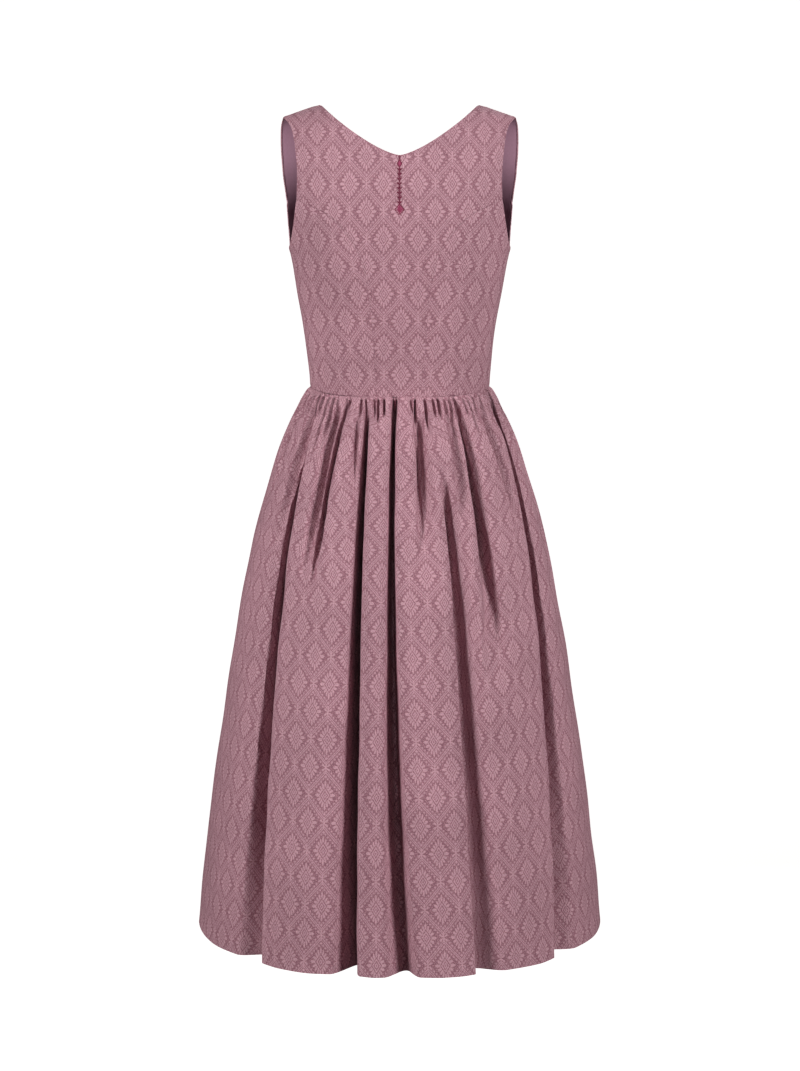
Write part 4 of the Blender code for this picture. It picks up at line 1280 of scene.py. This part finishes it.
class DIRNDL_OT_embroidery(bpy.types.Operator):
    """Embroider the bar under the back neckline"""
    bl_idname = "dirndl.embroidery"
    bl_label = "Embroidery"

    def execute(self, context):
        trim = context.scene.dirndl_trim
        dark = thread_finish("mercerised_cotton", trim.embroidery_colour, 0.42)
        light = thread_finish("mercerised_cotton_light", trim.second_colour, 0.42)
        strands = (self.outline(*SMALL_OUTLINE) + self.outline(*LARGE_OUTLINE)
                   + self.satin(*LARGE_MIDDLE) + self.chain(*STEMS[0]) + self.chain(*STEMS[1])
                   + self.barbs(*BARB_ROW))
        strands += [stitch(*((hand * x, height) for x, height in DOT_ENDS), BACK, 0.0007)
                    for hand in (-1, 1)]
        sewn(threads("embroidered_bar", strands, trim.thread_thickness, 6, dark))
        grounds = self.satin(*GROUNDS[0]) + self.satin(*GROUNDS[1])
        sewn(threads("embroidered_ground", grounds, trim.thread_thickness * 0.75, 6, light))
        return {"FINISHED"}

    def outline(self, centre, half_width, half_height):
        """A lozenge of backstitches, two threads wide."""
        corners = [(0.0, half_height), (half_width, 0.0), (0.0, -half_height),
                   (-half_width, 0.0), (0.0, half_height)]
        strands = []
        for (x, rise), (next_x, next_rise) in zip(corners, corners[1:]):
            for inset in (1.0, 0.86):
                for part in range(3):
                    ends = ((mix(x, next_x, share) * inset,
                             centre + mix(rise, next_rise, share) * inset)
                            for share in (part / 3, (part + 0.9) / 3))
                    strands.append(stitch(*ends, BACK, 0.0006))
        return strands

    def satin(self, centre, half_width, half_height):
        """A lozenge filled with satin stitches that lie side by side."""
        strands = []
        rows = max(5, int(half_height / SATIN_SPACING))
        for row in range(rows):
            share = (row - (rows - 1) / 2) / (rows / 2)
            reach = half_width * (1.0 - abs(share)) + 0.0003
            height = centre + share * half_height
            strands.append(stitch((-reach, height), (reach, height), BACK, 0.0002 + reach * 0.05))
        return strands

    def chain(self, top, bottom):
        """Chain stitches, each a loop of two bowed threads."""
        strands = []
        count = max(1, round((top - bottom) / CHAIN_LINK))
        for number in range(count):
            start = mix(top, bottom, number / count)
            end = mix(top, bottom, (number + 1.15) / count)
            for hand in (-1, 1):
                bowed = [on_bodice(hand * 0.00085 * math.sin(math.pi * share),
                                   mix(start, end, share), BACK,
                                   0.0007 * math.sin(math.pi * share))
                         for share in np.linspace(0.0, 1.0, 6)]
                strands.append(bowed)
        return strands

    def barbs(self, top, bottom):
        """Pairs of short stitches that slant up and out from the stem."""
        strands = []
        count = round((top - bottom) / BARB_SPACING)
        for number in range(count + 1):
            height = mix(top, bottom, number / count)
            for hand in (-1, 1):
                for lower in (0.0, 0.0011):
                    strands.append(stitch((hand * 0.0007, height - lower),
                                          (hand * 0.0031, height + 0.0018 - lower), BACK, 0.0005))
        return strands


LOOP_PLACE, LOOP_RADIUS, LOOP_RISE = 0.0052, 0.0013, 0.0014
SHANK_START, BEND_PLACE = 0.0045, -0.0022
BEND_REACH, BEND_RADIUS = 0.0010, 0.0006
EYE_PLACE, EYE_RADIUS, EYE_END = -0.0040, 0.0022, 2.6


class DIRNDL_OT_hooks(bpy.types.Operator):
    """Sew the hooks and eyes behind the centre front"""
    bl_idname = "dirndl.hooks"
    bl_label = "Hooks and eyes"

    def execute(self, context):
        trim = context.scene.dirndl_trim
        wire = nickel_wire("nickel_plated_wire")
        names = [f"hook_{number}" for number in range(1, 8)]
        strands = []
        for name in names:
            low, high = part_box(name)
            strands += self.fastening((low.z + high.z) / 2, trim.wire_thickness)
        piece = threads("hooks_and_eyes", strands, trim.wire_thickness, 8, wire)
        sewn(piece, *names, slot="hook_metal")
        return {"FINISHED"}

    def fastening(self, height, wire):
        """A hook with two sewing loops on one side, and the eye that holds it."""
        under = UNDER_CLOTH + LINING_WALL + wire * 0.6
        strands = []
        for hand in (-1, 1):
            strands.append([(LOOP_PLACE + LOOP_RADIUS * math.cos(turn),
                             height + hand * LOOP_RISE + LOOP_RADIUS * math.sin(turn))
                            for turn in np.linspace(0.0, 2 * math.pi, 13)])
            strands.append([(x, height + hand * BEND_RADIUS)
                            for x in np.linspace(SHANK_START, BEND_PLACE, 6)])
        strands.append([(BEND_PLACE - BEND_REACH * math.sin(turn),
                         height + BEND_RADIUS * math.cos(turn))
                        for turn in np.linspace(0, math.pi, 7)])
        eye = [(EYE_PLACE + EYE_RADIUS * math.cos(turn), height + EYE_RADIUS * math.sin(turn))
               for turn in np.linspace(-EYE_END, EYE_END, 15)]
        laid = [[on_bodice(*place, FRONT, -under) for place in strand] for strand in strands]
        return laid + [[on_bodice(*place, FRONT, -under - wire * 0.9) for place in eye]]


HEM_STITCH_COLUMNS = 3     # a stitch stands at every third column of the skirt


class DIRNDL_OT_hem_stitches(bpy.types.Operator):
    """Stitch the turned hem inside the skirt"""
    bl_idname = "dirndl.hem_stitches"
    bl_label = "Hem stitches"

    def execute(self, context):
        cloth, settings = context.scene.dirndl_cloth, context.scene.dirndl_skirt
        material = thread_finish("sewing_thread", cloth.ground_colour, 0.6)
        points, _ = skirt_sheet(settings)
        normals = grid_normals(points, closed=True)
        drop = skirt_drops()[:, 0]
        row = int(np.searchsorted(drop, SKIRT_LENGTH - settings.hem_turning))
        hem_edge = points[row] - normals[row] * (CLOTH_WALL * 1.55)
        wall_above = points[row - 1] - normals[row - 1] * (CLOTH_WALL * 1.15)
        strands = []
        for column in range(0, SKIRT_COLUMNS, HEM_STITCH_COLUMNS):
            start, end = hem_edge[column], wall_above[(column + 1) % SKIRT_COLUMNS]
            middle = mix(start, end, 0.5) - normals[row][column] * 0.0004
            strands.append([start, middle, mix(start, end, 0.8)])
        sewn(threads("hem_stitches", strands, 0.0006, 4, material))
        return {"FINISHED"}


# The studio: place, target, size and power of each light, the camera, and the paper
LIGHTS = {
    "key_left": ((-2.35, -1.7, 0.55), (0.0, 0.0, -0.3), 0.9, 79.0),
    "key_right": ((2.35, -1.7, 0.55), (0.0, 0.0, -0.3), 0.9, 79.0),
    "front": ((0.0, -2.9, 0.9), (0.0, 0.0, -0.3), 0.8, 6.0),
    "back": ((0.4, 3.0, 1.2), (0.0, 0.0, -0.5), 1.5, 30.0),
}
AIR_COLOUR, AIR_STRENGTH = "#E8B4B8", 0.04
CAMERA_PLACE = (0.0007, -3.5, -0.1218)
SENSOR_HEIGHT = 24.0
FOCUS = 2500 / 1071        # focal length in picture heights
CAMERA_TILT = -math.atan(335.5 / 2500)
PAPER_LEVEL, PAPER_TOP = -2.2, 5.5
PAPER_SIDE, PAPER_START, PAPER_END = 7.0, -7.0, 4.2
PAPER_BEND, PAPER_BEND_STEPS = 1.2, 12


class DIRNDL_OT_stage(bpy.types.Operator):
    """Set up the floor, the light and the camera"""
    bl_idname = "dirndl.stage"
    bl_label = "Stage"

    def execute(self, context):
        scene = context.scene
        self.paper()
        self.camera(scene)
        for name, light in LIGHTS.items():
            self.light(name, *light)
        world = bpy.data.worlds.new("studio_air")
        scene.world = world
        world.use_nodes = True
        air = world.node_tree.nodes["Background"]
        air.inputs["Color"].default_value = (*srgb(AIR_COLOUR), 1)
        air.inputs["Strength"].default_value = AIR_STRENGTH
        scene.view_settings.view_transform = "Standard"
        return {"FINISHED"}

    def paper(self):
        """A roll of paper, laid on the floor and curved up behind the dress."""
        profile = [(PAPER_START, PAPER_LEVEL), (PAPER_END, PAPER_LEVEL)]
        for step in range(1, PAPER_BEND_STEPS + 1):
            turn = step / PAPER_BEND_STEPS * math.pi / 2
            profile.append((PAPER_END + PAPER_BEND * math.sin(turn),
                            PAPER_LEVEL + PAPER_BEND * (1 - math.cos(turn))))
        profile.append((PAPER_END + PAPER_BEND, PAPER_TOP))
        vertices = [(x, y, z) for x in (-PAPER_SIDE, PAPER_SIDE) for y, z in profile]
        count = len(profile)
        faces = [(i, i + count, i + count + 1, i + 1) for i in range(count - 1)]
        mesh = bpy.data.meshes.new("studio_paper")
        mesh.from_pydata(vertices, [], faces)
        mesh.shade_smooth()
        mesh.materials.append(studio_paper("background_paper", srgb("#F7F6F5")))
        paper = placed("studio_paper", mesh)
        paper.visible_diffuse = False
        paper.visible_glossy = False

    def camera(self, scene):
        data = bpy.data.cameras.new("camera")
        data.sensor_fit = "VERTICAL"
        data.sensor_height = SENSOR_HEIGHT
        data.lens = SENSOR_HEIGHT * FOCUS
        camera = placed("camera", data)
        camera.location = CAMERA_PLACE
        camera.rotation_euler = (math.radians(90) + CAMERA_TILT, 0.0, 0.0)
        scene.camera = camera

    def light(self, name, place, target, size, power):
        data = bpy.data.lights.new(name, "AREA")
        data.shape = "SQUARE"
        data.size = size
        data.energy = power
        lamp = placed(name, data)
        lamp.location = place
        aim = Vector(target) - Vector(place)
        lamp.rotation_euler = aim.to_track_quat("-Z", "Y").to_euler()


class DIRNDL_PT_panel(bpy.types.Panel):
    """The dress's settings and its pieces"""
    bl_idname = "DIRNDL_PT_panel"
    bl_label = "Dirndl"
    bl_space_type = "VIEW_3D"
    bl_region_type = "UI"
    bl_category = "Dirndl"

    def draw(self, context):
        for group in ("dirndl_cloth", "dirndl_skirt", "dirndl_trim"):
            settings = getattr(context.scene, group)
            box = self.layout.box()
            for name in settings.__annotations__:
                box.prop(settings, name)
        for operator in OPERATORS:
            self.layout.operator(operator.bl_idname)


OPERATORS = (DIRNDL_OT_bodice, DIRNDL_OT_lining, DIRNDL_OT_skirt, DIRNDL_OT_embroidery,
             DIRNDL_OT_hooks, DIRNDL_OT_hem_stitches, DIRNDL_OT_stage)
CLASSES = (DirndlCloth, DirndlSkirt, DirndlTrim, *OPERATORS, DIRNDL_PT_panel)


def register():
    for kind in CLASSES:
        bpy.utils.register_class(kind)
    bpy.types.Scene.dirndl_cloth = bpy.props.PointerProperty(type=DirndlCloth)
    bpy.types.Scene.dirndl_skirt = bpy.props.PointerProperty(type=DirndlSkirt)
    bpy.types.Scene.dirndl_trim = bpy.props.PointerProperty(type=DirndlTrim)


def unregister():
    del bpy.types.Scene.dirndl_cloth, bpy.types.Scene.dirndl_skirt, bpy.types.Scene.dirndl_trim
    for kind in reversed(CLASSES):
        bpy.utils.unregister_class(kind)


def main():
    register()
    bpy.ops.dirndl.stage()
    bpy.ops.dirndl.bodice()
    bpy.ops.dirndl.lining()
    bpy.ops.dirndl.skirt()
    bpy.ops.dirndl.embroidery()
    bpy.ops.dirndl.hooks()
    bpy.ops.dirndl.hem_stitches()


if __name__ == "__main__":
    main()
